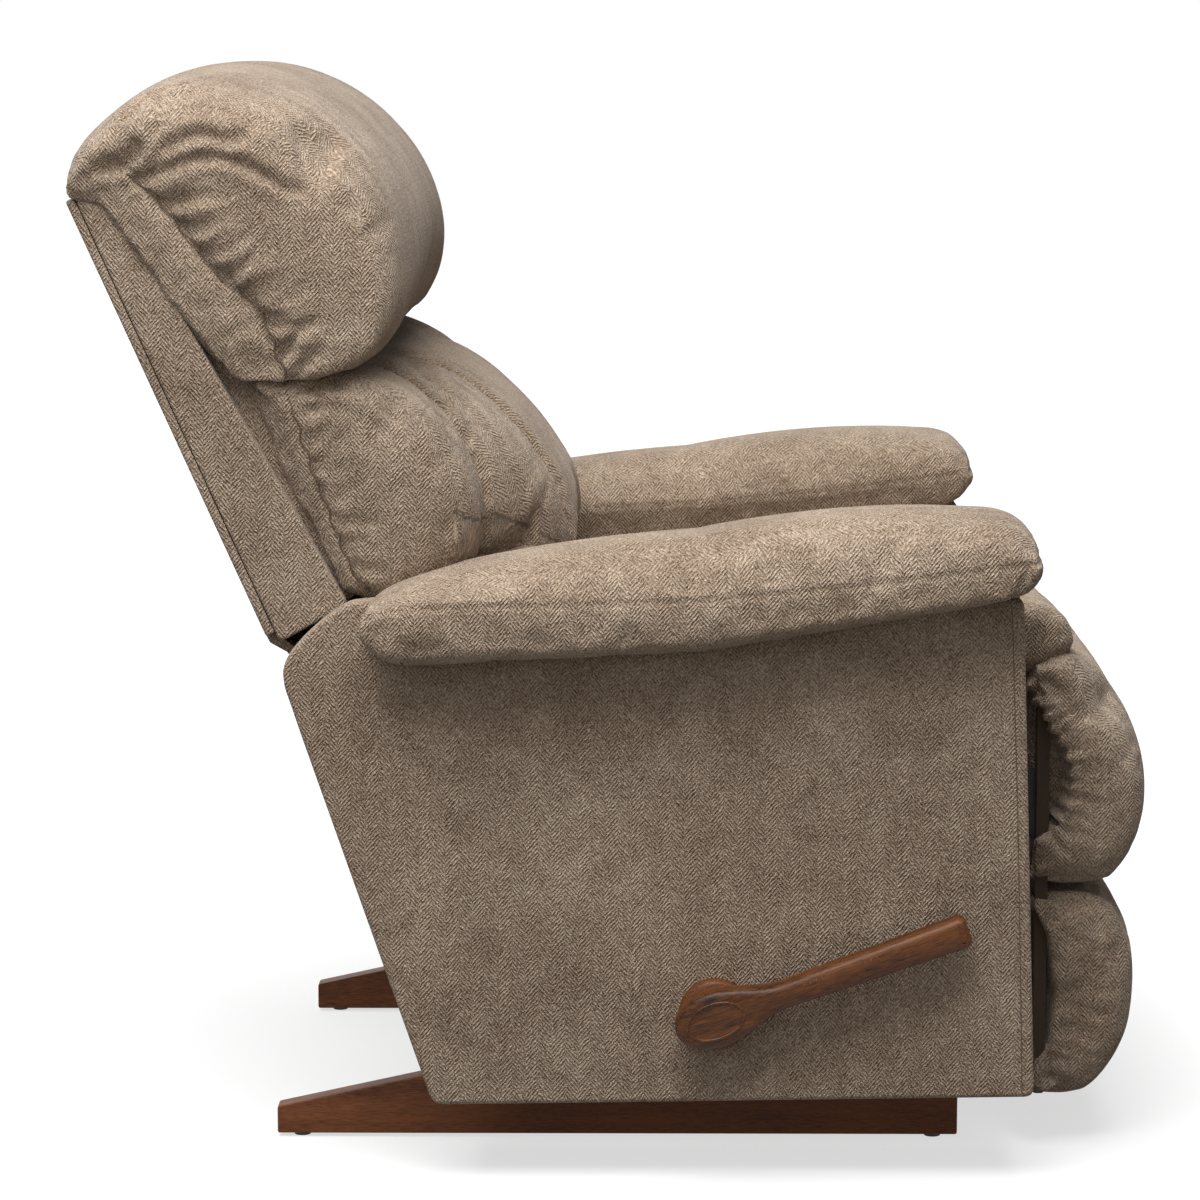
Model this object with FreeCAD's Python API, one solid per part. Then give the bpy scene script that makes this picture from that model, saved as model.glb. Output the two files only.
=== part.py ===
import FreeCAD, Part
import math
import os

# Rocker recliner. Millimetres, +Z up, the sitter faces -Y and the release handle is on the sitter's right (-X).
# "forward" is a distance towards the sitter's feet (-Y), "inner" and "outer" are distances from
# the middle plane X = 0.

os.makedirs("parts", exist_ok=True)

SIDES = (("left", 1), ("right", -1))

# Place of the whole chair: how far its middle lies ahead of the point that "forward" is measured from
MIDDLE_FORWARD = 5.6

# Fits and clearances
RUNNING_GAP = 0.05
SEAT_GAP = 0.3
LAYER_GAP = 0.5
SLIDE_GAP = 3.0
OVERRUN = 5.0

# Base rails and slats
RAIL_LENGTH = 672.0
RAIL_HEIGHT = 68.0
RAIL_THICKNESS = 22.0
RAIL_SPACING = 507.0
RAIL_FRONT = 340.5
RAIL_END_HEIGHT = 27.0
RAIL_TAPER_LENGTH = 186.0
GLIDE_HEIGHT = 3.0
GLIDE_RADIUS = 8.0
GLIDE_INSET = 24.0
SLAT_THICKNESS = 20.0
SLAT_HEIGHT = 48.0
SLAT_LIFT = 8.0
FRONT_SLAT_PLACE = 236.0
REAR_SLAT_PLACE = -150.0
WOOD_SCREW_RADIUS = 3.0
WOOD_SCREW_HEAD_RADIUS = 6.0
WOOD_SCREW_HEAD_HEIGHT = 2.5
WOOD_SCREW_LENGTH = 55.0
RAIL_SCREW_SINK = 6.0
SCREW_ROW_SHARES = (0.25, 0.75)

# Rocking joint
ROCK_PLACE = 15.0
ROCK_LIMIT = 4.5
CAM_ROUND_RADIUS = 120.0
CAM_GAP = 0.5
CAM_REAR = -190.0
CAM_FRONT = 310.0
CAM_TOP = 150.0
CAM_BOLT_INSET = 24.0
COIL_RADIUS = 17.0
COIL_WIRE = 4.0
COIL_PITCH = 13.0
COIL_TURNS = 4
HALF_TURN = 180.0
COIL_INSET = 7.0
BRACKET_WIDTH = 52.0
BRACKET_THICKNESS = 3.0
BRACKET_LEG = 34.0
COIL_SEAT_HEIGHT = 46.0

# Steel mechanism plates and links
PLATE_THICKNESS = 3.0
PLATE_REAR = -175.0
PLATE_FRONT = 384.0
PLATE_TOP = 352.0
PLATE_NOSE_HEIGHT = 118.0
PLATE_FOOT_HEIGHT = 96.0
PLATE_WAIST_HEIGHT = 204.0
PLATE_FOOT_FRONT = 150.0
LINK_THICKNESS = 3.0
LINK_WIDTH = 16.0
PIN_RADIUS = 4.0
PIN_HEAD_RADIUS = 7.0
PIN_HEAD_HEIGHT = 2.0
MECHANISM_BOLT_RADIUS = 4.0

# Legrest linkage, in the closed position
LINK_PIVOT_FORWARD = 310.5
LINK_PIVOT_HEIGHT = 270.0
LINK_LENGTH = 180.0
LINK_REST_ANGLE = -115.0
LEGREST_TRAVEL = 90.0
BOARD_PIVOT_FORWARD = 402.5
BOARD_PIVOT_HEIGHT = 300.0
PIVOT_SPREAD = 80.0
CONTROL_ARM = 36.0
CONTROL_ARM_ANGLE = 100.0
CRANK_LENGTH = 60.0

# Drive rod and release handle
ROD_FORWARD = 97.5
ROD_HEIGHT = 163.0
ROD_SIZE = 14.0
BUSH_RADIUS = 13.0
BUSH_FLANGE_RADIUS = 18.0
BUSH_FLANGE = 3.0
CRANK_THICKNESS = 4.0
HANDLE_ANGLE = 20.0
HANDLE_REACH = 252.0
HANDLE_THICKNESS = 22.0
HUB_LENGTH = 78.0
HUB_WIDTH = 56.0
NECK_WIDTH = 21.0
NECK_PLACE = 62.0
TIP_WIDTH = 30.0
TIP_ROUND = 6.0
BOSS_RADIUS = 34.0
BOSS_THICKNESS = 14.0
BADGE_LENGTH = 58.0
BADGE_WIDTH = 34.0
BADGE_DEPTH = 2.0
HANDLE_SCREW_RADIUS = 3.0
HANDLE_SCREW_LENGTH = 44.0
HANDLE_SCREW_HEAD = 3.0
ROD_SOCKET = 8.0
HOLE_ROOM = 4.0

# Arms
ARM_OVERHANG = 55.0
ARM_TUCK = 3.0
ARM_REAR = -225.5
ARM_LENGTH = 629.0
ARM_BOTTOM = 503.0
ARM_TALL = 135.0
ARM_SPREAD = 110.0
PANEL_THICKNESS = 18.0
PANEL_REAR = -308.5
PANEL_LENGTH = 708.0
PANEL_BOTTOM = 72.0
PANEL_ABOVE_ARM_BOTTOM = 57.0
MECHANISM_ROOM = 35.5
INNER_PANEL_THICKNESS = 12.0
POST_THICKNESS = 20.0
FRONT_BOARD_THICKNESS = 18.0
SIDE_BOTTOM_RISE = 16.0
INNER_PANEL_REAR = -250.0

# Cross rails between the mechanism plates and the arms
CROSS_RAIL_HEIGHT = 68.0
CROSS_RAIL_THICKNESS = 20.0
CROSS_RAIL_BOTTOM = 262.0
FRONT_CROSS_RAIL_PLACE = 150.0
REAR_CROSS_RAIL_PLACE = -160.0

# Seat
SEAT_FRAME_BOTTOM = 340.0
SEAT_FRAME_HEIGHT = 24.0
SEAT_FRAME_INSET = 8.5
SEAT_FRAME_BOARD = 40.0
SEAT_SIDE_GAP = 13.0
SEAT_REAR = -34.5
SEAT_OVER_LEGREST = 38.5
SEAT_BOTTOM = 364.3
SEAT_TALL = 165.0
SEAT_BRACKET_LENGTH = 46.0
SWING_LENGTH = 70.0
SWING_LEAN = 106.0
SWING_TRAVEL = 28.0
SWING_PIN_DROP = 17.0
SEAT_LINK_THICKNESS = 3.0
FRONT_SWING_PLACE = 262.0
REAR_SWING_PLACE = 0.0

# Back
HINGE_FORWARD = -226.0
HINGE_BELOW_ARM = 23.0
HINGE_PLATE_LENGTH = 120.0
RECLINE_TRAVEL = 28.0
BACK_INSET = 25.0
BACK_FORWARD = -250.5
BACK_ABOVE_HINGE = 69.0
BACK_SLOPE = 119.16
BACK_SIDE_LENGTH = 453.0
BACK_BOTTOM_DEPTH = 80.0
BACK_TOP_DEPTH = 40.0
BACK_BOARD = 18.0
BACK_RAIL_HEIGHT = 60.0
BACK_PANEL_SHARE = 0.93
STILE_THICKNESS = 20.0
STILE_DEPTH_SHARE = 0.5
STILE_DROP = 112.0
LOWER_RAIL_DROP = 104.0
LOWER_BACK_GAP = 14.0
WEBBING_WIDTH = 50.0
WEBBING_THICKNESS = 2.0
BACK_WEBBING_SHARES = (0.12, 0.32, 0.52, 0.72)
SEAT_WEBBING_SHARES = (0.12, 0.32, 0.52, 0.72)
HEADREST_REAR = -515.5
HEADREST_LENGTH = 330.0
HEADREST_ABOVE_HINGE = 265.0
HEADREST_TALL = 305.0
LUMBAR_REAR = -364.5
LUMBAR_LENGTH = 339.0
LUMBAR_ABOVE_HINGE = 70.0
LUMBAR_TALL = 220.0
HEADREST_INSET = 8.0
LUMBAR_INSET = 20.0
TAIL_BELOW_HINGE = 48.0
TAIL_FRONT = -42.0

# Legrest
LEGREST_SIDE_GAP = 12.0
BOARD_THICKNESS = 14.0
BOARD_FRONT = 418.0
BOARD_BOTTOM = 62.0
BOARD_TALL = 362.0
LEG_UPPER_LENGTH = 108.0
LEG_UPPER_BOTTOM = 256.0
LEG_UPPER_TALL = 190.0
LEG_LOWER_LENGTH = 93.0
LEG_LOWER_BOTTOM = 44.0
LEG_LOWER_TALL = 208.0
LEG_BRACKET_HEIGHT = 110.0
LEG_BRACKET_FLANGE = 30.0

# Widths, each from the one inside it, and heights of the arms and back, each from the one below it
PANEL_TALL = ARM_BOTTOM + PANEL_ABOVE_ARM_BOTTOM - PANEL_BOTTOM
HINGE_HEIGHT = ARM_BOTTOM - HINGE_BELOW_ARM
SEAT_LENGTH = BOARD_FRONT + SEAT_OVER_LEGREST - SEAT_REAR
RAIL_INNER = (RAIL_SPACING - RAIL_THICKNESS) / 2
RAIL_OUTER = RAIL_INNER + RAIL_THICKNESS
INNER_PANEL_INNER = RAIL_OUTER + MECHANISM_ROOM
PANEL_OUTER = INNER_PANEL_INNER + ARM_SPREAD
ARM_INNER = INNER_PANEL_INNER - ARM_TUCK
ARM_OUTER = PANEL_OUTER + ARM_OVERHANG
SEAT_FRAME_HALF_WIDTH = RAIL_OUTER - SEAT_FRAME_INSET
SEAT_HALF_WIDTH = INNER_PANEL_INNER - SEAT_SIDE_GAP
BACK_HALF_WIDTH = PANEL_OUTER - BACK_INSET
LOWER_BACK_HALF_WIDTH = INNER_PANEL_INNER - LOWER_BACK_GAP
HEADREST_HALF_WIDTH = PANEL_OUTER - HEADREST_INSET
LUMBAR_HALF_WIDTH = PANEL_OUTER - LUMBAR_INSET
LEGREST_HALF_WIDTH = INNER_PANEL_INNER - LEGREST_SIDE_GAP
BACK_BOTTOM = HINGE_HEIGHT + BACK_ABOVE_HINGE
HEADREST_BOTTOM = HINGE_HEIGHT + HEADREST_ABOVE_HINGE
LUMBAR_BOTTOM = HINGE_HEIGHT + LUMBAR_ABOVE_HINGE
TAIL_BOTTOM = HINGE_HEIGHT - TAIL_BELOW_HINGE

# Outlines of the sides, as shares of the length and height that each piece has, the third share being how far
# the edge that starts at the point bows outwards, as a share of that edge.
SIDE_PANEL_SHARES = (
    (0.196, 0.000), (1.000, 0.018), (0.977, 0.990), (0.954, 1.000), (0.551, 0.909), (0.225, 0.882),
    (0.109, 0.880), (0.109, 0.984), (0.083, 0.984), (0.001, 0.877), (0.000, 0.836), (0.023, 0.732),
)
ARM_EDGE_SHARES = (
    (0.054, 0.000, 0), (0.488, 0.104, 0), (0.940, 0.430, 0.06), (0.983, 0.719, 0.03), (0.876, 0.637, -0.01),
    (0.488, 0.452, 0.01), (0.092, 0.393, 0.06), (0.000, 0.319, 0.1), (0.005, 0.126, 0.1),
)
ARM_CROWN_SHARES = (
    (0.054, 0.000, 0), (0.488, 0.104, 0), (0.940, 0.430, 0.2), (1.000, 0.630, 0.25), (0.897, 1.000, 0.03),
    (0.488, 0.822, 0.02), (0.121, 0.563, 0.04), (0.010, 0.363, 0.1), (0.000, 0.163, 0.15),
)
HEADREST_EDGE_SHARES = (
    (0.436, 0.102, 0), (0.715, 0.030, 0.03), (0.830, 0.148, 0.08), (0.812, 0.443, 0.08),
    (0.624, 0.656, 0.08), (0.291, 0.721, 0.06), (0.052, 0.672, 0.04), (0.091, 0.643, 0),
)
HEADREST_CROWN_SHARES = (
    (0.436, 0.102, 0), (0.745, 0.075, 0.04), (0.936, 0.138, 0.12), (1.000, 0.459, 0.09),
    (0.830, 0.803, 0.1), (0.482, 1.000, 0.11), (0.124, 0.839, 0.05), (0.000, 0.698, 0.1),
)
LUMBAR_EDGE_SHARES = (
    (0.350, 0.009, 0), (0.451, 0.000, 0.12), (0.617, 0.191, 0.14), (0.605, 0.636, 0.1),
    (0.363, 0.910, 0.04), (0.162, 0.873, 0.03), (0.000, 0.991, 0),
)
LUMBAR_CROWN_SHARES = (
    (0.350, 0.009, 0), (0.605, 0.009, 0.02), (1.000, 0.045, 0.08), (0.879, 0.523, 0.07),
    (0.575, 0.930, 0.06), (0.375, 0.960, 0.03), (0.000, 0.991, 0),
)
SEAT_EDGE_SHARES = (
    (0.000, 0.000, 0), (0.815, 0.000, 0), (0.815, 0.527, 0), (0.910, 0.588, 0.1),
    (0.947, 0.733, 0.15), (0.896, 0.909, 0.03), (0.418, 0.697, 0.01), (0.000, 0.545, 0),
)
SEAT_CROWN_SHARES = (
    (0.000, 0.000, 0), (0.815, 0.000, 0), (0.815, 0.527, 0), (0.923, 0.582, 0.12),
    (1.000, 0.727, 0.2), (0.931, 1.000, 0.06), (0.418, 0.867, 0.02), (0.000, 0.636, 0),
)
LEG_UPPER_EDGE_SHARES = (
    (0.000, 0.032, 0), (0.000, 0.947, 0.05), (0.389, 0.968, 0.08), (0.741, 0.732, 0.06),
    (0.833, 0.389, 0.08), (0.593, 0.100, 0.03),
)
LEG_UPPER_CROWN_SHARES = (
    (0.000, 0.000, 0), (0.000, 0.995, 0.06), (0.500, 1.000, 0.08), (0.880, 0.726, 0.05),
    (1.000, 0.416, 0.09), (0.667, 0.005, 0.03),
)
LEG_LOWER_EDGE_SHARES = (
    (0.000, 0.077, 0), (0.000, 0.981, 0.01), (0.613, 0.942, 0.06), (0.806, 0.654, 0.04),
    (0.753, 0.317, 0.06), (0.452, 0.106, 0.06),
)
LEG_LOWER_CROWN_SHARES = (
    (0.000, 0.000, 0), (0.000, 1.000, 0.01), (0.688, 0.976, 0.08), (1.000, 0.630, 0.03),
    (0.957, 0.332, 0.07), (0.527, 0.029, 0.06),
)

# Sections across a cushion: place as a share of its half width, and how much of the crown the section has
CROWN_SHARES = ((-1.0, 0.0), (-0.94, 0.55), (-0.78, 0.88), (-0.4, 1.0), (0.4, 1.0), (0.78, 0.88), (0.94, 0.55),
                (1.0, 0.0))
ARM_CROWN_PLACE_SHARES = ((-1.0, 0.0), (-0.86, 0.5), (-0.5, 0.9), (0.0, 1.0), (0.5, 0.9), (0.86, 0.5), (1.0, 0.0))
CHANNEL_SHARES = ((-1.0, 0.0), (-0.93, 0.55), (-0.72, 0.9), (-0.42, 0.97), (-0.36, 0.9), (-0.3, 0.97), (0.0, 1.0),
                  (0.3, 0.97), (0.36, 0.9), (0.42, 0.97), (0.72, 0.9), (0.93, 0.55), (1.0, 0.0))


# Shapes


def point(x, forward, height):
    return FreeCAD.Vector(x, MIDDLE_FORWARD - forward, height)


def polar(length, degrees):
    return length * math.cos(math.radians(degrees)), length * math.sin(math.radians(degrees))


def moved(place, step):
    return place[0] + step[0], place[1] + step[1]


def prism(outline, start, thickness):
    """Solid of a side outline of (forward, height) points, from X = start on."""
    corners = [point(start, *place) for place in outline]
    face = Part.Face(Part.makePolygon(corners + corners[:1]))
    return face.extrude(FreeCAD.Vector(thickness, 0, 0))


def block(left, right, rear, front, bottom, top):
    return Part.makeBox(right - left, front - rear, top - bottom, point(left, front, bottom))


def side_block(side, inner, outer, rear, front, bottom, top):
    left, right = sorted((side * inner, side * outer))
    return block(left, right, rear, front, bottom, top)


def rod_across(radius, place, start, end):
    """Round bar along X between two X places."""
    left, right = sorted((start, end))
    return Part.makeCylinder(radius, right - left, point(left, *place), FreeCAD.Vector(1, 0, 0))


def bar(first, last, width, start, thickness):
    """Flat bar with round ends between two pivots."""
    along = (last[0] - first[0], last[1] - first[1])
    reach = math.hypot(*along)
    across = (-along[1] / reach * width / 2, along[0] / reach * width / 2)
    back = (-across[0], -across[1])
    body = prism([moved(first, across), moved(last, across), moved(last, back), moved(first, back)], start, thickness)
    ends = [rod_across(width / 2, place, start, start + thickness) for place in (first, last)]
    return body.fuse(ends).removeSplitter()


def bored(shape, places, radius, start, end):
    return shape.cut([rod_across(radius, place, start, end) for place in places])


def shaped(shares, rear, length, bottom, tall):
    """Outline table to real places: forward, height and how far the edge bows."""
    return [(rear + share[0] * length, bottom + share[1] * tall) + tuple(share[2:]) for share in shares]


def bowed_edge(start, end, bow, turn, x):
    if not bow:
        return Part.makeLine(point(x, *start), point(x, *end))
    step = (end[0] - start[0], end[1] - start[1])
    middle = ((start[0] + end[0]) / 2 + turn * step[1] * bow, (start[1] + end[1]) / 2 - turn * step[0] * bow)
    return Part.Arc(point(x, *start), point(x, *middle), point(x, *end)).toShape()


def bowed_wire(outline, x):
    following = outline[1:] + outline[:1]
    area = sum(a[0] * b[1] - b[0] * a[1] for a, b in zip(outline, following))
    turn = math.copysign(1, area)
    return Part.Wire([bowed_edge(a[:2], b[:2], a[2], turn, x) for a, b in zip(outline, following)])


def cushion(edge_shares, crown_shares, box, sections, half_width, middle=0):
    """Soft solid across the chair: full crown in the middle, drawn in towards both sides."""
    edge, crown = shaped(edge_shares, *box), shaped(crown_shares, *box)
    wires = []
    for place, fill in sections:
        outline = [tuple(a + (b - a) * fill for a, b in zip(low, high)) for low, high in zip(edge, crown)]
        wires.append(bowed_wire(outline, middle + place * half_width))
    return Part.makeLoft(wires, True, False)


def group(shapes):
    return Part.makeCompound(list(shapes))


def export(name, shape):
    solids = len(shape.Solids)
    print(name, "solids", solids, "valid", shape.isValid(), "volume %.0f" % shape.Volume)
    shape.exportStep("parts/%s.step" % name)


# Base


RAIL_TOP = GLIDE_HEIGHT + RAIL_HEIGHT
RAIL_REAR = RAIL_FRONT - RAIL_LENGTH
SLAT_PLACES = {"front": FRONT_SLAT_PLACE, "rear": REAR_SLAT_PLACE}
SLAT_BOTTOM = GLIDE_HEIGHT + SLAT_LIFT


def slat_screw_places(place):
    return [(place + SLAT_THICKNESS / 2, SLAT_BOTTOM + share * SLAT_HEIGHT) for share in SCREW_ROW_SHARES]


def rail(side):
    outline = [
        (RAIL_REAR, GLIDE_HEIGHT), (RAIL_FRONT, GLIDE_HEIGHT), (RAIL_FRONT, RAIL_TOP),
        (RAIL_REAR + RAIL_TAPER_LENGTH, RAIL_TOP), (RAIL_REAR, GLIDE_HEIGHT + RAIL_END_HEIGHT),
    ]
    board = prism(outline, side * RAIL_INNER, side * RAIL_THICKNESS)
    for place in SLAT_PLACES.values():
        start, end = side * (RAIL_INNER - OVERRUN), side * (RAIL_OUTER + OVERRUN)
        board = bored(board, slat_screw_places(place), WOOD_SCREW_RADIUS, start, end)
        sunk = side * (RAIL_OUTER - RAIL_SCREW_SINK - WOOD_SCREW_HEAD_HEIGHT)
        board = bored(board, slat_screw_places(place), WOOD_SCREW_HEAD_RADIUS, sunk, end)
    return board


def slat(place):
    board = block(-RAIL_INNER, RAIL_INNER, place, place + SLAT_THICKNESS, SLAT_BOTTOM, SLAT_BOTTOM + SLAT_HEIGHT)
    depth = WOOD_SCREW_LENGTH - RAIL_THICKNESS
    for _, side in SIDES:
        start, end = side * (RAIL_INNER - depth), side * (RAIL_INNER + OVERRUN)
        board = bored(board, slat_screw_places(place), WOOD_SCREW_RADIUS, start, end)
    return board


def wood_screw(side, place):
    """Screw of a slat, sunk into the rail's outer face."""
    face = side * (RAIL_OUTER - RAIL_SCREW_SINK)
    head_start = face - side * WOOD_SCREW_HEAD_HEIGHT
    shank = rod_across(WOOD_SCREW_RADIUS, place, side * (RAIL_OUTER - WOOD_SCREW_LENGTH), head_start)
    return shank.fuse(rod_across(WOOD_SCREW_HEAD_RADIUS, place, head_start, face))


def glide(side, place):
    centre = point(side * RAIL_SPACING / 2, place, 0)
    return Part.makeCylinder(GLIDE_RADIUS, GLIDE_HEIGHT, centre)


COIL_HEIGHT = COIL_TURNS * COIL_PITCH
COIL_BOTTOM = COIL_SEAT_HEIGHT + BRACKET_THICKNESS
UPPER_SEAT_HEIGHT = COIL_BOTTOM + COIL_HEIGHT + COIL_WIRE + 2 * SEAT_GAP
COIL_CENTRE = RAIL_INNER - BRACKET_THICKNESS - COIL_INSET - COIL_RADIUS


def coil_spring(side):
    """Coil of half turns, each a half ring in a plane that rises by half the pitch."""
    half_turns = []
    for step in range(2 * COIL_TURNS):
        turn = 1 if step % 2 == 0 else -1
        low, high = (FreeCAD.Vector(sign * COIL_RADIUS, 0, place * COIL_PITCH / 2)
                     for sign, place in ((turn, step), (-turn, step + 1)))
        wire = Part.makeCircle(COIL_WIRE / 2, low, FreeCAD.Vector(0, 1, 0))
        axis = (high - low).cross(FreeCAD.Vector(0, turn, 0))
        half_turns.append(Part.Face(Part.Wire(wire)).revolve((low + high) / 2, axis, HALF_TURN))
    coil = half_turns[0].fuse(half_turns[1:])
    coil.translate(point(side * COIL_CENTRE, ROCK_PLACE, COIL_BOTTOM + SEAT_GAP + COIL_WIRE / 2))
    return coil


def spring_bracket(side, seat_height, leg_end):
    """Steel angle: a seat for the coil spring and a leg flat against the board."""
    rear, front = ROCK_PLACE - BRACKET_WIDTH / 2, ROCK_PLACE + BRACKET_WIDTH / 2
    tip = COIL_CENTRE - BRACKET_WIDTH / 2
    seat = side_block(side, tip, RAIL_INNER, rear, front, seat_height, seat_height + BRACKET_THICKNESS)
    low, high = sorted((seat_height, leg_end))
    leg = side_block(side, RAIL_INNER - BRACKET_THICKNESS, RAIL_INNER, rear, front, low, high)
    return seat.fuse(leg).removeSplitter()


def make_base():
    for name, side in SIDES:
        export("rail_" + name, rail(side))
    export("base_slats", group(slat(place) for place in SLAT_PLACES.values()))
    screw_places = [spot for place in SLAT_PLACES.values() for spot in slat_screw_places(place)]
    export("base_screws", group(wood_screw(side, spot) for _, side in SIDES for spot in screw_places))
    glide_places = (RAIL_REAR + GLIDE_INSET, RAIL_FRONT - GLIDE_INSET)
    export("base_glides", group(glide(side, place) for _, side in SIDES for place in glide_places))
    lower_end = COIL_SEAT_HEIGHT - BRACKET_LEG
    export("lower_spring_brackets", group(spring_bracket(side, COIL_SEAT_HEIGHT, lower_end) for _, side in SIDES))
    export("rocker_springs", group(coil_spring(side) for _, side in SIDES))


# Rocking frame


LAYER_STEP = LINK_THICKNESS + LAYER_GAP
PLATE_INNER = RAIL_OUTER
PLATE_OUTER = PLATE_INNER + PLATE_THICKNESS
PUSH_LAYER = PLATE_OUTER + LAYER_GAP
ARM_LAYER = PUSH_LAYER + LAYER_STEP
LIFT_LAYER = ARM_LAYER + LAYER_STEP
LIFT_END = LIFT_LAYER + LINK_THICKNESS

LINK_PIVOT = (LINK_PIVOT_FORWARD, LINK_PIVOT_HEIGHT)
ROD_PIVOT = (ROD_FORWARD, ROD_HEIGHT)
LINK_END = moved(LINK_PIVOT, polar(LINK_LENGTH, LINK_REST_ANGLE))
BOARD_PIVOT = (BOARD_PIVOT_FORWARD, BOARD_PIVOT_HEIGHT)
LIFT_ANGLE = math.degrees(math.atan2(BOARD_PIVOT[1] - LINK_END[1], BOARD_PIVOT[0] - LINK_END[0]))
SPREAD = polar(PIVOT_SPREAD, LIFT_ANGLE)
GUIDE_PIVOT = moved(LINK_PIVOT, SPREAD)
GUIDE_END = moved(LINK_END, SPREAD)
CONTROL_STEP = polar(CONTROL_ARM, CONTROL_ARM_ANGLE)
CONTROL_START = moved(LINK_END, CONTROL_STEP)
CONTROL_END = moved(BOARD_PIVOT, CONTROL_STEP)
CRANK_STEP = polar(CRANK_LENGTH, LINK_REST_ANGLE)
CRANK_PIN = moved(ROD_PIVOT, CRANK_STEP)
PUSH_END = moved(LINK_PIVOT, CRANK_STEP)

SWING_STEP = polar(SWING_LENGTH, SWING_LEAN)
SWING_PIN_HEIGHT = SEAT_FRAME_BOTTOM - SWING_PIN_DROP
SEAT_PINS = {"front": (FRONT_SWING_PLACE, SWING_PIN_HEIGHT), "rear": (REAR_SWING_PLACE, SWING_PIN_HEIGHT)}
SWING_PIVOTS = {name: (pin[0] - SWING_STEP[0], pin[1] - SWING_STEP[1]) for name, pin in SEAT_PINS.items()}
SWING_INNER = SEAT_FRAME_HALF_WIDTH + PLATE_THICKNESS + LAYER_GAP

CAM_BOLTS = [(place, CAM_TOP - CAM_BOLT_INSET) for place in (
    PLATE_REAR + CAM_BOLT_INSET, ROCK_PLACE - BRACKET_WIDTH, PLATE_FOOT_FRONT - CAM_BOLT_INSET)]
CROSS_RAILS = {"front": FRONT_CROSS_RAIL_PLACE, "rear": REAR_CROSS_RAIL_PLACE}
CROSS_RAIL_TOP = CROSS_RAIL_BOTTOM + CROSS_RAIL_HEIGHT


def cam(side):
    """Wooden rocker: a round contact in the middle and a flat each way that meets the rail at the limits."""
    slope = math.tan(math.radians(ROCK_LIMIT))
    low = RAIL_TOP + CAM_GAP
    rest = CAM_ROUND_RADIUS * math.sin(math.radians(ROCK_LIMIT))
    sagitta = CAM_ROUND_RADIUS * (1 - math.cos(math.radians(ROCK_LIMIT)))
    x = side * RAIL_INNER

    def flat_end(place, contact):
        return place, low + sagitta + abs(place - contact) * slope

    rear_contact, front_contact = ROCK_PLACE - rest, ROCK_PLACE + rest
    corners = [flat_end(CAM_REAR, rear_contact), (rear_contact, low + sagitta), (ROCK_PLACE, low),
               (front_contact, low + sagitta), flat_end(CAM_FRONT, front_contact), (CAM_FRONT, CAM_TOP),
               (CAM_REAR, CAM_TOP)]
    spots = [point(x, *corner) for corner in corners]
    edges = [Part.makeLine(spots[0], spots[1]), Part.Arc(*spots[1:4]).toShape()]
    edges += [Part.makeLine(a, b) for a, b in zip(spots[3:], spots[4:] + spots[:1])]
    board = Part.Face(Part.Wire(edges)).extrude(FreeCAD.Vector(side * RAIL_THICKNESS, 0, 0))
    return bored(board, CAM_BOLTS, MECHANISM_BOLT_RADIUS, side * (RAIL_INNER - OVERRUN), side * (RAIL_OUTER + OVERRUN))


def cam_bolt(side, place):
    tip = side * (RAIL_INNER - PIN_HEAD_HEIGHT * 2)
    shank = rod_across(MECHANISM_BOLT_RADIUS, place, side * RAIL_INNER, side * PLATE_OUTER)
    nut = rod_across(PIN_HEAD_RADIUS, place, tip, side * RAIL_INNER)
    return shank.fuse(nut)


def cross_rail_notch(place):
    return [(place - SEAT_GAP, CROSS_RAIL_BOTTOM), (place + CROSS_RAIL_THICKNESS + SEAT_GAP, CROSS_RAIL_BOTTOM),
            (place + CROSS_RAIL_THICKNESS + SEAT_GAP, PLATE_TOP + OVERRUN), (place - SEAT_GAP, PLATE_TOP + OVERRUN)]


def mechanism_plate(side):
    outline = [
        (PLATE_REAR, PLATE_FOOT_HEIGHT), (PLATE_FOOT_FRONT, PLATE_FOOT_HEIGHT), (PLATE_FOOT_FRONT, PLATE_WAIST_HEIGHT),
        (PLATE_FRONT - PLATE_NOSE_HEIGHT, PLATE_WAIST_HEIGHT), (PLATE_FRONT, PLATE_TOP - LINK_WIDTH * 2),
        (PLATE_FRONT, PLATE_TOP), (PLATE_REAR, PLATE_TOP),
    ]
    x, step = side * PLATE_INNER, side * PLATE_THICKNESS
    sheet = prism(outline, x, step)
    for place in CROSS_RAILS.values():
        sheet = sheet.cut(prism(cross_rail_notch(place), x - side * OVERRUN, step + 2 * side * OVERRUN))
    start, end = x - side * OVERRUN, x + step + side * OVERRUN
    sheet = bored(sheet, [ROD_PIVOT], BUSH_RADIUS + RUNNING_GAP, start, end)
    sheet = bored(sheet, CAM_BOLTS, MECHANISM_BOLT_RADIUS, start, end)
    pivots = [LINK_PIVOT, GUIDE_PIVOT] + list(SWING_PIVOTS.values())
    return bored(sheet, pivots, PIN_RADIUS, start, end)


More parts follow.
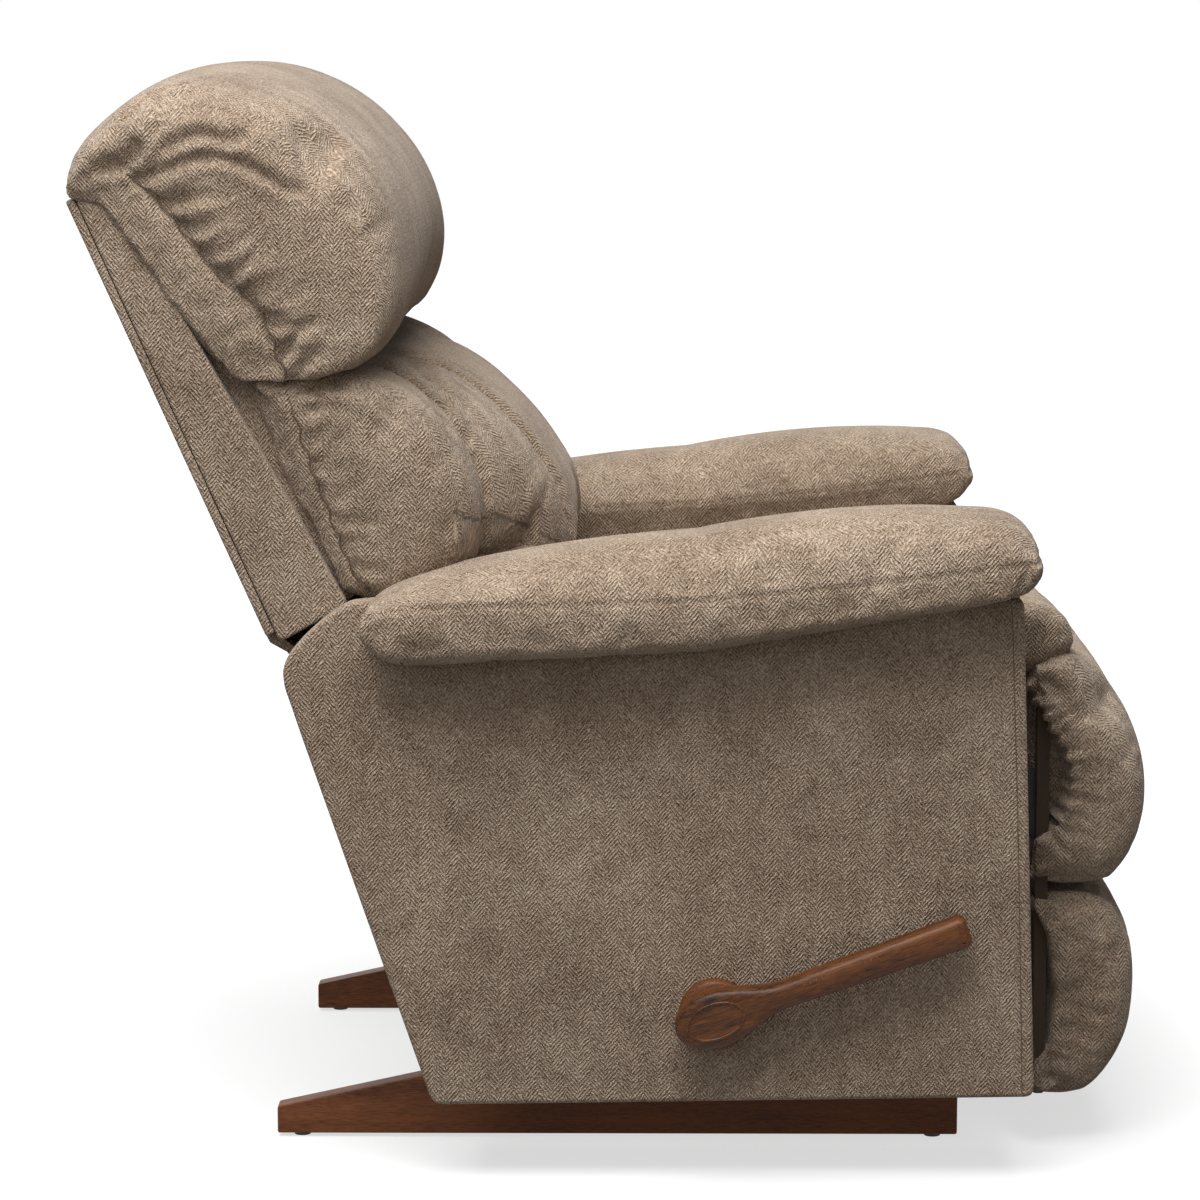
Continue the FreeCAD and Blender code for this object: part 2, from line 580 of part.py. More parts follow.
def frame_pins(side):
    """Pivot pins fixed in the steel plate: two for the legrest arms outside, two for the seat links inside."""
    pins = []
    for place in (LINK_PIVOT, GUIDE_PIVOT):
        tip, head = side * (ARM_LAYER + LINK_THICKNESS + LAYER_GAP / 2), side * LAYER_GAP / 2
        pin = rod_across(PIN_RADIUS, place, side * PLATE_INNER, tip)
        spacer = rod_across(PIN_HEAD_RADIUS, place, side * PLATE_OUTER, side * (ARM_LAYER - LAYER_GAP))
        cap = rod_across(PIN_HEAD_RADIUS, place, tip, tip + side * PIN_HEAD_HEIGHT - head)
        pins.append(pin.fuse([spacer, cap]).removeSplitter())
    for place in SWING_PIVOTS.values():
        tip = side * (SWING_INNER - LAYER_GAP / 2)
        pin = rod_across(PIN_RADIUS, place, tip, side * PLATE_OUTER)
        cap = rod_across(PIN_HEAD_RADIUS, place, tip, tip - side * PIN_HEAD_HEIGHT)
        pins.append(pin.fuse(cap).removeSplitter())
    return pins


def cross_rail_screw_places(place):
    return [(place + CROSS_RAIL_THICKNESS / 2, CROSS_RAIL_BOTTOM + share * CROSS_RAIL_HEIGHT)
            for share in SCREW_ROW_SHARES]


def cross_rail(place):
    board = block(-INNER_PANEL_INNER, INNER_PANEL_INNER, place, place + CROSS_RAIL_THICKNESS,
                  CROSS_RAIL_BOTTOM, CROSS_RAIL_TOP)
    depth = WOOD_SCREW_LENGTH - INNER_PANEL_THICKNESS
    for _, side in SIDES:
        start, end = side * (INNER_PANEL_INNER - depth), side * (INNER_PANEL_INNER + OVERRUN)
        board = bored(board, cross_rail_screw_places(place), WOOD_SCREW_RADIUS, start, end)
    return board


def arm_screw(side, place):
    face = side * (INNER_PANEL_INNER + INNER_PANEL_THICKNESS)
    shank = rod_across(WOOD_SCREW_RADIUS, place, face - side * WOOD_SCREW_LENGTH, face)
    return shank.fuse(rod_across(WOOD_SCREW_HEAD_RADIUS, place, face, face + side * WOOD_SCREW_HEAD_HEIGHT))


# Arms


ARM_BOX = (ARM_REAR, ARM_LENGTH, ARM_BOTTOM, ARM_TALL)
PANEL_BOX = (PANEL_REAR, PANEL_LENGTH, PANEL_BOTTOM, PANEL_TALL)
PANEL_INNER = PANEL_OUTER - PANEL_THICKNESS
INNER_PANEL_OUTER = INNER_PANEL_INNER + INNER_PANEL_THICKNESS
SIDE_BOTTOM = PANEL_BOTTOM + SIDE_BOTTOM_RISE
ARM_UNDERSIDE = [spot[:2] for spot in shaped(ARM_EDGE_SHARES, *ARM_BOX)[:3]]
ROD_HOLE_RADIUS = ROD_SIZE / math.sqrt(2) + HOLE_ROOM


def under_arm(forward):
    """Height just below the arm pad at a place along the arm."""
    rear, middle, front = ARM_UNDERSIDE
    low, high = (rear, middle) if forward < middle[0] else (middle, front)
    share = max(0, (forward - low[0]) / (high[0] - low[0]))
    return low[1] + share * (high[1] - low[1]) - SEAT_GAP


def panel_front(height):
    """Forward place of the arm's leaning front face at a height."""
    low, high = shaped(SIDE_PANEL_SHARES, *PANEL_BOX)[1:3]
    return low[0] + (high[0] - low[0]) * (height - low[1]) / (high[1] - low[1])


def panel_rear(height):
    """Forward place of the arm's leaning rear edge at a height."""
    corners = shaped(SIDE_PANEL_SHARES, *PANEL_BOX)
    low, high = corners[0], corners[-1]
    return low[0] + (high[0] - low[0]) * (height - low[1]) / (high[1] - low[1])


def arm_pad(side):
    middle = side * (ARM_OUTER + ARM_INNER) / 2
    pad = cushion(ARM_EDGE_SHARES, ARM_CROWN_SHARES, ARM_BOX, ARM_CROWN_PLACE_SHARES,
                  (ARM_OUTER - ARM_INNER) / 2, middle)
    return pad.cut(arm_seat(side))


def arm_seat(side):
    """Space of the arm's boards and panels under the pad."""
    ends = [(spot[0], under_arm(spot[0]) + SEAT_GAP / 2) for spot in ARM_UNDERSIDE]
    low = ARM_BOTTOM - POST_THICKNESS
    outline = [(ARM_REAR - POST_THICKNESS, low), (ends[2][0], low)] + ends[::-1]
    outline.append((ARM_REAR - POST_THICKNESS, ends[0][1]))
    start = INNER_PANEL_INNER - SEAT_GAP
    return prism(outline, side * start, side * (PANEL_OUTER + SEAT_GAP - start))


def arm_room(side):
    """The arm pad a little enlarged: the space that the back's cushion leaves free."""
    box = (ARM_REAR - SLIDE_GAP, ARM_LENGTH + SLIDE_GAP, ARM_BOTTOM, ARM_TALL + SLIDE_GAP)
    middle = side * (ARM_OUTER + ARM_INNER) / 2
    half = (ARM_OUTER - ARM_INNER) / 2 + SLIDE_GAP
    return cushion(ARM_EDGE_SHARES, ARM_CROWN_SHARES, box, ARM_CROWN_PLACE_SHARES, half, middle)


def side_panel(side):
    panel = prism(shaped(SIDE_PANEL_SHARES, *PANEL_BOX), side * PANEL_INNER, side * PANEL_THICKNESS)
    if side < 0:
        panel = bored(panel, [ROD_PIVOT], ROD_HOLE_RADIUS, side * (PANEL_INNER - OVERRUN), side * (PANEL_OUTER + OVERRUN))
    return panel


def inner_panel(side):
    top = under_arm(ARM_UNDERSIDE[2][0] - FRONT_BOARD_THICKNESS)
    front_low = panel_front(SIDE_BOTTOM) - FRONT_BOARD_THICKNESS
    front_high = panel_front(top) - FRONT_BOARD_THICKNESS
    middle = ARM_UNDERSIDE[1][0]
    outline = [(INNER_PANEL_REAR + STILE_DROP, SIDE_BOTTOM), (front_low, SIDE_BOTTOM), (front_high, top),
               (middle, under_arm(middle)), (ARM_UNDERSIDE[0][0], under_arm(ARM_UNDERSIDE[0][0])),
               (INNER_PANEL_REAR, under_arm(INNER_PANEL_REAR) - SLIDE_GAP),
               (INNER_PANEL_REAR, CROSS_RAIL_BOTTOM)]
    panel = prism(outline, side * INNER_PANEL_INNER, side * INNER_PANEL_THICKNESS)
    start, end = side * (INNER_PANEL_INNER - OVERRUN), side * (INNER_PANEL_OUTER + OVERRUN)
    panel = bored(panel, [HINGE], PIN_RADIUS, start, end)
    screws = [spot for place in CROSS_RAILS.values() for spot in cross_rail_screw_places(place)]
    panel = bored(panel, screws, WOOD_SCREW_RADIUS, start, end)
    if side < 0:
        panel = bored(panel, [ROD_PIVOT], ROD_HOLE_RADIUS, start, end)
    return panel


def side_frame(side):
    """Boards between the inner and outer panels of an arm: front, rear, top and bottom."""
    def board(outline):
        return prism(outline, side * INNER_PANEL_OUTER, side * (PANEL_INNER - INNER_PANEL_OUTER))

    rear, front_top = ARM_UNDERSIDE[0][0], panel_front(ARM_UNDERSIDE[2][1]) - FRONT_BOARD_THICKNESS
    middle = ARM_UNDERSIDE[1][0]
    low_front = panel_front(SIDE_BOTTOM + POST_THICKNESS) - FRONT_BOARD_THICKNESS
    low_rear = max(rear, panel_rear(SIDE_BOTTOM))
    bottom = board([(low_rear, SIDE_BOTTOM), (low_front, SIDE_BOTTOM),
                    (low_front, SIDE_BOTTOM + POST_THICKNESS), (low_rear, SIDE_BOTTOM + POST_THICKNESS)])
    post = board([(low_rear, SIDE_BOTTOM + POST_THICKNESS), (low_rear + POST_THICKNESS, SIDE_BOTTOM + POST_THICKNESS),
                  (rear + POST_THICKNESS, under_arm(rear) - POST_THICKNESS), (rear, under_arm(rear) - POST_THICKNESS)])
    ends = [(place, under_arm(place)) for place in (rear, middle, front_top - POST_THICKNESS)]
    rails = []
    for low, high in zip(ends, ends[1:]):
        rails.append(board([low, high, (high[0], high[1] - POST_THICKNESS), (low[0], low[1] - POST_THICKNESS)]))
    return group([bottom, post] + rails)


def front_board(side):
    """Leaning front face of an arm, between its inner face and the side panel."""
    top = under_arm(ARM_UNDERSIDE[2][0] - FRONT_BOARD_THICKNESS) - SEAT_GAP
    low, high = (panel_front(SIDE_BOTTOM), SIDE_BOTTOM), (panel_front(top), top)
    outline = [(low[0] - FRONT_BOARD_THICKNESS, low[1]), low, high, (high[0] - FRONT_BOARD_THICKNESS, high[1])]
    return prism(outline, side * INNER_PANEL_INNER, side * (PANEL_INNER - INNER_PANEL_INNER))


def recline_pin(side):
    """Pin fixed in the inner panel that carries the hinge plate of the back."""
    tip = side * LOWER_BACK_HALF_WIDTH
    pin = rod_across(PIN_RADIUS, HINGE, tip, side * INNER_PANEL_OUTER)
    spacer_start = side * (LOWER_BACK_HALF_WIDTH + PLATE_THICKNESS + LAYER_GAP)
    spacer = rod_across(PIN_HEAD_RADIUS, HINGE, spacer_start, side * INNER_PANEL_INNER)
    cap = rod_across(PIN_HEAD_RADIUS, HINGE, side * INNER_PANEL_OUTER, side * (INNER_PANEL_OUTER + PIN_HEAD_HEIGHT))
    return pin.fuse([spacer, cap]).removeSplitter()


HINGE = (HINGE_FORWARD, HINGE_HEIGHT)


def make_frame():
    for name, side in SIDES:
        export("rocker_cam_" + name, cam(side))
        export("mechanism_plate_" + name, mechanism_plate(side))
        export("side_panel_" + name, side_panel(side))
        export("inner_panel_" + name, inner_panel(side))
        export("side_frame_" + name, side_frame(side))
        export("arm_front_" + name, front_board(side))
        export("arm_pad_" + name, arm_pad(side))
    for name, place in CROSS_RAILS.items():
        export("cross_rail_" + name, cross_rail(place))
    upper_end = UPPER_SEAT_HEIGHT + BRACKET_LEG
    export("upper_spring_brackets", group(spring_bracket(side, UPPER_SEAT_HEIGHT, upper_end) for _, side in SIDES))
    export("cam_bolts", group(cam_bolt(side, place) for _, side in SIDES for place in CAM_BOLTS))
    screws = [spot for place in CROSS_RAILS.values() for spot in cross_rail_screw_places(place)]
    export("arm_screws", group(arm_screw(side, spot) for _, side in SIDES for spot in screws))
    export("mechanism_pins", group(pin for _, side in SIDES for pin in frame_pins(side) + [recline_pin(side)]))


# Drive rod, cranks and release handle


HANDLE_INNER = PANEL_OUTER + SEAT_GAP + BOSS_THICKNESS
HANDLE_OUTER = HANDLE_INNER + HANDLE_THICKNESS
ROD_END = HANDLE_INNER + ROD_SOCKET
CRANK_OUTER = ARM_LAYER + CRANK_THICKNESS
SCREW_HEAD_TOP = HANDLE_OUTER - BADGE_DEPTH
SCREW_TIP = SCREW_HEAD_TOP - HANDLE_SCREW_LENGTH


def square_rod(start, end):
    half = ROD_SIZE / 2
    left, right = sorted((start, end))
    return block(left, right, ROD_FORWARD - half, ROD_FORWARD + half, ROD_HEIGHT - half, ROD_HEIGHT + half)


def drive_rod():
    bar_body = square_rod(-ROD_END, CRANK_OUTER)
    return bored(bar_body, [ROD_PIVOT], HANDLE_SCREW_RADIUS, -SCREW_TIP, -ROD_END - OVERRUN)


def rod_bush(side):
    sleeve = rod_across(BUSH_RADIUS, ROD_PIVOT, side * (PLATE_INNER - LAYER_GAP), side * PLATE_OUTER)
    start = side * (PLATE_OUTER + RUNNING_GAP)
    flange = rod_across(BUSH_FLANGE_RADIUS, ROD_PIVOT, start, side * (PLATE_OUTER + BUSH_FLANGE))
    neck = rod_across(BUSH_RADIUS, ROD_PIVOT, side * PLATE_INNER, side * (PLATE_OUTER + BUSH_FLANGE))
    bush = sleeve.fuse([flange, neck]).removeSplitter()
    return bush.cut(square_rod(side * (PLATE_INNER - OVERRUN), side * (PLATE_OUTER + BUSH_FLANGE + OVERRUN)))


def drive_crank(side):
    crank = bar(ROD_PIVOT, CRANK_PIN, BUSH_RADIUS * 2, side * ARM_LAYER, side * CRANK_THICKNESS)
    crank = crank.fuse(rod_across(PIN_RADIUS, CRANK_PIN, side * PUSH_LAYER, side * CRANK_OUTER)).removeSplitter()
    return crank.cut(square_rod(side * (ARM_LAYER - OVERRUN), side * (CRANK_OUTER + OVERRUN)))


def handle_place(along, across):
    """Place on the handle: along it from the rod, and across it."""
    spot = moved(ROD_PIVOT, polar(along, HANDLE_ANGLE))
    return moved(spot, polar(across, HANDLE_ANGLE + 90))


def oval(length, width, start, thickness):
    """Oval disc around the rod's axis, long along the handle."""
    ring = Part.Ellipse(FreeCAD.Vector(0, 0, 0), length / 2, width / 2).toShape()
    disc = Part.Face(Part.Wire(ring)).extrude(FreeCAD.Vector(0, 0, thickness))
    # the ellipse lies in XY: stand it up across X with its length forward, then tilt it to the handle's angle
    disc.rotate(FreeCAD.Vector(0, 0, 0), FreeCAD.Vector(0, 0, 1), 90)
    disc.rotate(FreeCAD.Vector(0, 0, 0), FreeCAD.Vector(0, 1, 0), -90)
    disc.rotate(FreeCAD.Vector(0, 0, 0), FreeCAD.Vector(1, 0, 0), -HANDLE_ANGLE)
    disc.translate(point(start, *ROD_PIVOT))
    return disc


def release_handle():
    """Wooden lever: an oval hub that runs into a neck and widens again to the tip."""
    shaft = [(0, -HUB_WIDTH / 4), (NECK_PLACE, -NECK_WIDTH / 2), (HANDLE_REACH - TIP_ROUND, -TIP_WIDTH / 2),
             (HANDLE_REACH, -TIP_WIDTH / 2 + TIP_ROUND), (HANDLE_REACH, TIP_WIDTH / 2 - TIP_ROUND),
             (HANDLE_REACH - TIP_ROUND, TIP_WIDTH / 2), (NECK_PLACE, NECK_WIDTH / 2), (0, HUB_WIDTH / 4)]
    lever = prism([handle_place(*spot) for spot in shaft], -HANDLE_INNER, -HANDLE_THICKNESS)
    lever = lever.fuse(oval(HUB_LENGTH, HUB_WIDTH, -HANDLE_INNER, HANDLE_THICKNESS)).removeSplitter()
    lever = lever.cut(square_rod(-HANDLE_INNER + OVERRUN, -ROD_END))
    lever = lever.cut(oval(BADGE_LENGTH, BADGE_WIDTH, -SCREW_HEAD_TOP, BADGE_DEPTH + OVERRUN))
    return lever.cut(handle_screw())


def handle_screw():
    shank = rod_across(HANDLE_SCREW_RADIUS, ROD_PIVOT, -SCREW_TIP, -SCREW_HEAD_TOP)
    head = rod_across(HANDLE_SCREW_RADIUS * 2, ROD_PIVOT, -SCREW_HEAD_TOP + HANDLE_SCREW_HEAD, -SCREW_HEAD_TOP)
    return shank.fuse(head).removeSplitter()


def handle_boss():
    disc = rod_across(BOSS_RADIUS, ROD_PIVOT, -PANEL_OUTER - SEAT_GAP, -HANDLE_INNER)
    return disc.cut(square_rod(-PANEL_OUTER + OVERRUN, -HANDLE_INNER - OVERRUN))


def make_drive():
    export("drive_rod", drive_rod())
    export("rod_bushes", group(rod_bush(side) for _, side in SIDES))
    export("drive_cranks", group(drive_crank(side) for _, side in SIDES))
    export("handle_boss", handle_boss())
    export("release_handle", release_handle())
    export("handle_badge", oval(BADGE_LENGTH, BADGE_WIDTH, -SCREW_HEAD_TOP, BADGE_DEPTH))
    export("handle_screw", handle_screw())


# Legrest linkage and legrest


def flat_link(side, first, last, layer, bores, width=LINK_WIDTH):
    """Steel link in one layer with running holes at its pivots."""
    body = bar(first, last, width, side * layer, side * LINK_THICKNESS)
    start, end = side * (layer - OVERRUN), side * (layer + LINK_THICKNESS + OVERRUN)
    return bored(body, bores, PIN_RADIUS + RUNNING_GAP, start, end)


def link_pin(side, place, start, end, capped):
    """Pin fixed in the link nearer the plate, with a head where there is room for one."""
    pin = rod_across(PIN_RADIUS, place, side * start, side * end)
    if capped:
        pin = pin.fuse(rod_across(PIN_HEAD_RADIUS, place, side * end, side * (end + PIN_HEAD_HEIGHT)))
    return pin.removeSplitter()


LIFT_CAP = LIFT_END + LAYER_GAP / 2


def main_link(side):
    """Driven arm: a bell crank from the plate to the lifting link, with an ear for the control link."""
    start, step = side * ARM_LAYER, side * LINK_THICKNESS
    arm = bar(LINK_PIVOT, LINK_END, LINK_WIDTH, start, step)
    ear = [bar(LINK_END, CONTROL_START, LINK_WIDTH, start, step), bar(CONTROL_START, PUSH_END, LINK_WIDTH, start, step)]
    arm = arm.fuse(ear).removeSplitter()
    over = side * OVERRUN
    arm = bored(arm, [LINK_PIVOT], PIN_RADIUS + RUNNING_GAP, start - over, start + step + over)
    pins = [link_pin(side, place, ARM_LAYER, LIFT_CAP, True) for place in (LINK_END, CONTROL_START)]
    pins.append(link_pin(side, PUSH_END, PUSH_LAYER, ARM_LAYER, False))
    return arm.fuse(pins).removeSplitter()


def guide_link(side):
    arm = flat_link(side, GUIDE_PIVOT, GUIDE_END, ARM_LAYER, [GUIDE_PIVOT])
    return arm.fuse(link_pin(side, GUIDE_END, ARM_LAYER, LIFT_CAP, True)).removeSplitter()


def lift_link(side):
    return flat_link(side, LINK_END, BOARD_PIVOT, LIFT_LAYER, [LINK_END, GUIDE_END, BOARD_PIVOT])


def control_link(side):
    return flat_link(side, CONTROL_START, CONTROL_END, LIFT_LAYER, [CONTROL_START, CONTROL_END])


def push_link(side):
    return flat_link(side, CRANK_PIN, PUSH_END, PUSH_LAYER, [CRANK_PIN, PUSH_END])


def legrest_bracket(side):
    """Steel ear on the end of the legrest board, with the pins of the lifting and control links."""
    start, step = side * ARM_LAYER, side * LINK_THICKNESS
    half = LEG_BRACKET_HEIGHT / 2
    middle = (BOARD_PIVOT_HEIGHT + CONTROL_END[1]) / 2
    strip = prism([(BOARD_FRONT - BOARD_THICKNESS, middle - half), (BOARD_FRONT, middle - half),
                   (BOARD_FRONT, middle + half), (BOARD_FRONT - BOARD_THICKNESS, middle + half)], start, step)
    ears = []
    for place in (BOARD_PIVOT, CONTROL_END):
        ears.append(bar(place, (BOARD_FRONT - LINK_WIDTH / 2, place[1]), LINK_WIDTH, start, step))
        ears.append(link_pin(side, place, ARM_LAYER, LIFT_CAP, True))
    return strip.fuse(ears).removeSplitter()


def legrest_board():
    return block(-ARM_LAYER, ARM_LAYER, BOARD_FRONT - BOARD_THICKNESS, BOARD_FRONT, BOARD_BOTTOM,
                 BOARD_BOTTOM + BOARD_TALL)


def leg_pad(edge_shares, crown_shares, length, bottom, tall):
    box = (BOARD_FRONT + SEAT_GAP, length, bottom, tall)
    return cushion(edge_shares, crown_shares, box, CROWN_SHARES, LEGREST_HALF_WIDTH)


def make_legrest():
    links = {"legrest_main_links": main_link, "legrest_guide_links": guide_link, "legrest_lift_links": lift_link,
             "legrest_control_links": control_link, "drive_push_links": push_link, "legrest_brackets": legrest_bracket}
    for name, shape in links.items():
        export(name, group(shape(side) for _, side in SIDES))
    export("legrest_board", legrest_board())
    export("leg_pad_upper", leg_pad(LEG_UPPER_EDGE_SHARES, LEG_UPPER_CROWN_SHARES, LEG_UPPER_LENGTH,
                                    LEG_UPPER_BOTTOM, LEG_UPPER_TALL))
    export("leg_pad_lower", leg_pad(LEG_LOWER_EDGE_SHARES, LEG_LOWER_CROWN_SHARES, LEG_LOWER_LENGTH,
                                    LEG_LOWER_BOTTOM, LEG_LOWER_TALL))


# Seat


SEAT_FRAME_TOP = SEAT_FRAME_BOTTOM + SEAT_FRAME_HEIGHT
SEAT_FRAME_REAR = SEAT_REAR
SEAT_FRAME_FRONT = SEAT_REAR + SEAT_CROWN_SHARES[1][0] * SEAT_LENGTH - SEAT_FRAME_BOARD / 4


def seat_side_board(side):
    board = side_block(side, SEAT_FRAME_HALF_WIDTH - SEAT_FRAME_BOARD, SEAT_FRAME_HALF_WIDTH, SEAT_FRAME_REAR,
                       SEAT_FRAME_FRONT, SEAT_FRAME_BOTTOM, SEAT_FRAME_TOP)
    return board


def seat_cross_board(rear):
    inner = SEAT_FRAME_HALF_WIDTH - SEAT_FRAME_BOARD
    return block(-inner, inner, rear, rear + SEAT_FRAME_BOARD, SEAT_FRAME_BOTTOM, SEAT_FRAME_TOP)


def seat_webbing(share):
    """Elastic band let into the frame's top from front to rear."""
    inner = SEAT_FRAME_HALF_WIDTH - SEAT_FRAME_BOARD
    middle = inner * (2 * share - 1) + WEBBING_WIDTH / 2
    rear, front = SEAT_FRAME_REAR + SEAT_FRAME_BOARD, SEAT_FRAME_FRONT - SEAT_FRAME_BOARD
    return block(middle - WEBBING_WIDTH / 2, middle + WEBBING_WIDTH / 2, rear, front,
                 SEAT_FRAME_TOP - WEBBING_THICKNESS, SEAT_FRAME_TOP)


def seat_bracket(side, place):
    """Steel tab on the seat frame with the pin of a seat link."""
    half = SEAT_BRACKET_LENGTH / 2
    face = SEAT_FRAME_HALF_WIDTH
    low = place[1] - LINK_WIDTH / 2
    tab = side_block(side, face, face + PLATE_THICKNESS, place[0] - half, place[0] + half, low, SEAT_FRAME_TOP)
    return tab.fuse(rod_across(PIN_RADIUS, place, side * face, side * (SWING_INNER + SEAT_LINK_THICKNESS)))


def seat_link(side, name):
    pivots = [SWING_PIVOTS[name], SEAT_PINS[name]]
    body = bar(*pivots, LINK_WIDTH, side * SWING_INNER, side * SEAT_LINK_THICKNESS)
    start, end = side * (SWING_INNER - OVERRUN), side * (SWING_INNER + OVERRUN)
    return bored(body, pivots, PIN_RADIUS + RUNNING_GAP, start, end)


def make_seat():
    export("seat_side_boards", group(seat_side_board(side) for _, side in SIDES))
    export("seat_cross_boards", group(seat_cross_board(rear) for rear in (
        SEAT_FRAME_REAR, SEAT_FRAME_FRONT - SEAT_FRAME_BOARD)))
    export("seat_webbing", group(seat_webbing(share) for share in SEAT_WEBBING_SHARES))
    export("seat_brackets", group(seat_bracket(side, place) for _, side in SIDES for place in SEAT_PINS.values()))
    for name in SEAT_PINS:
        export("seat_links_" + name, group(seat_link(side, name) for _, side in SIDES))
    box = (SEAT_REAR, SEAT_LENGTH, SEAT_BOTTOM, SEAT_TALL)
    export("seat_cushion", cushion(SEAT_EDGE_SHARES, SEAT_CROWN_SHARES, box, CROWN_SHARES, SEAT_HALF_WIDTH))


# Back


BACK_INNER = BACK_HALF_WIDTH - BACK_BOARD


def back_depth(along):
    return BACK_BOTTOM_DEPTH + (BACK_TOP_DEPTH - BACK_BOTTOM_DEPTH) * along / BACK_SIDE_LENGTH


def back_place(along, depth_share):
    """Place in the leaning back: up along its front face, and behind it as a share of its depth there."""
    spot = moved((BACK_FORWARD, BACK_BOTTOM), polar(along, BACK_SLOPE))
    return moved(spot, polar(depth_share * back_depth(along), BACK_SLOPE + 90))


def back_outline(low, high, front_share, rear_share):
    return [back_place(low, front_share), back_place(high, front_share), back_place(high, rear_share),
            back_place(low, rear_share)]


def back_board(low, high, front_share, rear_share, half_width):
    return prism(back_outline(low, high, front_share, rear_share), -half_width, 2 * half_width)


def stile(side):
    outline = back_outline(-STILE_DROP, BACK_SIDE_LENGTH, 0, STILE_DEPTH_SHARE)
    return prism(outline, side * (LOWER_BACK_HALF_WIDTH - STILE_THICKNESS), side * STILE_THICKNESS)


def hinge_plate(side):
    start, step = side * LOWER_BACK_HALF_WIDTH, side * PLATE_THICKNESS
    upper = back_place(HINGE_PLATE_LENGTH - STILE_DROP, STILE_DEPTH_SHARE / 2)
    body = bar(HINGE, upper, LINK_WIDTH * 2, start, step)
    return bored(body, [HINGE], PIN_RADIUS + RUNNING_GAP, start - side * OVERRUN, start + step + side * OVERRUN)


def back_webbing(share):
    """Elastic band across the fronts of the two stiles."""
    low = share * BACK_SIDE_LENGTH
    inner = back_outline(low, low + WEBBING_WIDTH, 0, 0)[:2]
    step = polar(WEBBING_THICKNESS, BACK_SLOPE - 90)
    outline = inner + [moved(spot, step) for spot in reversed(inner)]
    return prism(outline, -LOWER_BACK_HALF_WIDTH, 2 * LOWER_BACK_HALF_WIDTH)


def lumbar_cushion():
    """Lower back cushion over the arms, with a narrow tail that goes down between them."""
    box = (LUMBAR_REAR, LUMBAR_LENGTH, LUMBAR_BOTTOM, LUMBAR_TALL)
    pillow = cushion(LUMBAR_EDGE_SHARES, LUMBAR_CROWN_SHARES, box, CHANNEL_SHARES, LUMBAR_HALF_WIDTH)
    depth = polar(SLIDE_GAP, BACK_SLOPE - 90)
    low = moved(back_place((TAIL_BOTTOM - BACK_BOTTOM) / math.sin(math.radians(BACK_SLOPE)), 0), depth)
    high = moved(back_place(BACK_RAIL_HEIGHT, 0), depth)
    outline = [low, (TAIL_FRONT, TAIL_BOTTOM), (TAIL_FRONT, LUMBAR_BOTTOM + LUMBAR_TALL / 6), high]
    tail = prism(outline, -LOWER_BACK_HALF_WIDTH + SLIDE_GAP, 2 * (LOWER_BACK_HALF_WIDTH - SLIDE_GAP))
    return pillow.fuse(tail).cut([arm_room(side) for _, side in SIDES])


def headrest_cushion(lumbar):
    """Headrest roll, folded over the top of the back and resting on the lower cushion."""
    box = (HEADREST_REAR, HEADREST_LENGTH, HEADREST_BOTTOM, HEADREST_TALL)
    roll = cushion(HEADREST_EDGE_SHARES, HEADREST_CROWN_SHARES, box, CROWN_SHARES, HEADREST_HALF_WIDTH)
    step = polar(WEBBING_THICKNESS + SEAT_GAP, BACK_SLOPE - 90)
    low, high = back_place(0, 0), back_place(BACK_SIDE_LENGTH + SEAT_GAP, 0)
    rear_high, rear_low = back_place(BACK_SIDE_LENGTH + SEAT_GAP, 1), back_place(0, 1)
    frame_room = [moved(low, step), moved(high, step), rear_high, rear_low]
    half = BACK_HALF_WIDTH + SEAT_GAP
    return roll.cut(prism(frame_room, -half, 2 * half)).cut(lumbar)


def make_back():
    side_outline = back_outline(0, BACK_SIDE_LENGTH, 0, 1)
    export("back_side_boards", group(prism(side_outline, side * BACK_INNER, side * BACK_BOARD) for _, side in SIDES))
    export("back_stiles", group(stile(side) for _, side in SIDES))
    rear = BACK_PANEL_SHARE
    top = BACK_SIDE_LENGTH
    export("back_crest_rail", back_board(top - BACK_RAIL_HEIGHT, top, STILE_DEPTH_SHARE, rear, BACK_INNER))
    export("back_middle_rail", back_board(0, BACK_RAIL_HEIGHT, STILE_DEPTH_SHARE, rear, BACK_INNER))
    low = -LOWER_RAIL_DROP
    export("back_lower_rail", back_board(low, low + BACK_RAIL_HEIGHT, STILE_DEPTH_SHARE, rear, LOWER_BACK_HALF_WIDTH))
    panels = [back_board(0, top, rear, 1, BACK_INNER), back_board(-STILE_DROP, 0, rear, 1, LOWER_BACK_HALF_WIDTH)]
    export("back_panel", panels[0].fuse(panels[1]).removeSplitter())
    export("back_webbing", group(back_webbing(share) for share in BACK_WEBBING_SHARES))
    export("back_hinge_plates", group(hinge_plate(side) for _, side in SIDES))
    lumbar = lumbar_cushion()
    export("lumbar_cushion", lumbar)
    export("headrest_cushion", headrest_cushion(lumbar))


make_base()
make_frame()
make_drive()
make_legrest()
make_seat()
make_back()
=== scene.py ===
"""Looks of the rocker recliner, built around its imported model: cushions, covers, wood, steel, light and camera."""

import logging
import math
from dataclasses import dataclass, field
from enum import Enum

import bmesh
import bpy
import numpy as np
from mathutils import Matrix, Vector, noise
from mathutils.bvhtree import BVHTree
from mathutils.kdtree import KDTree


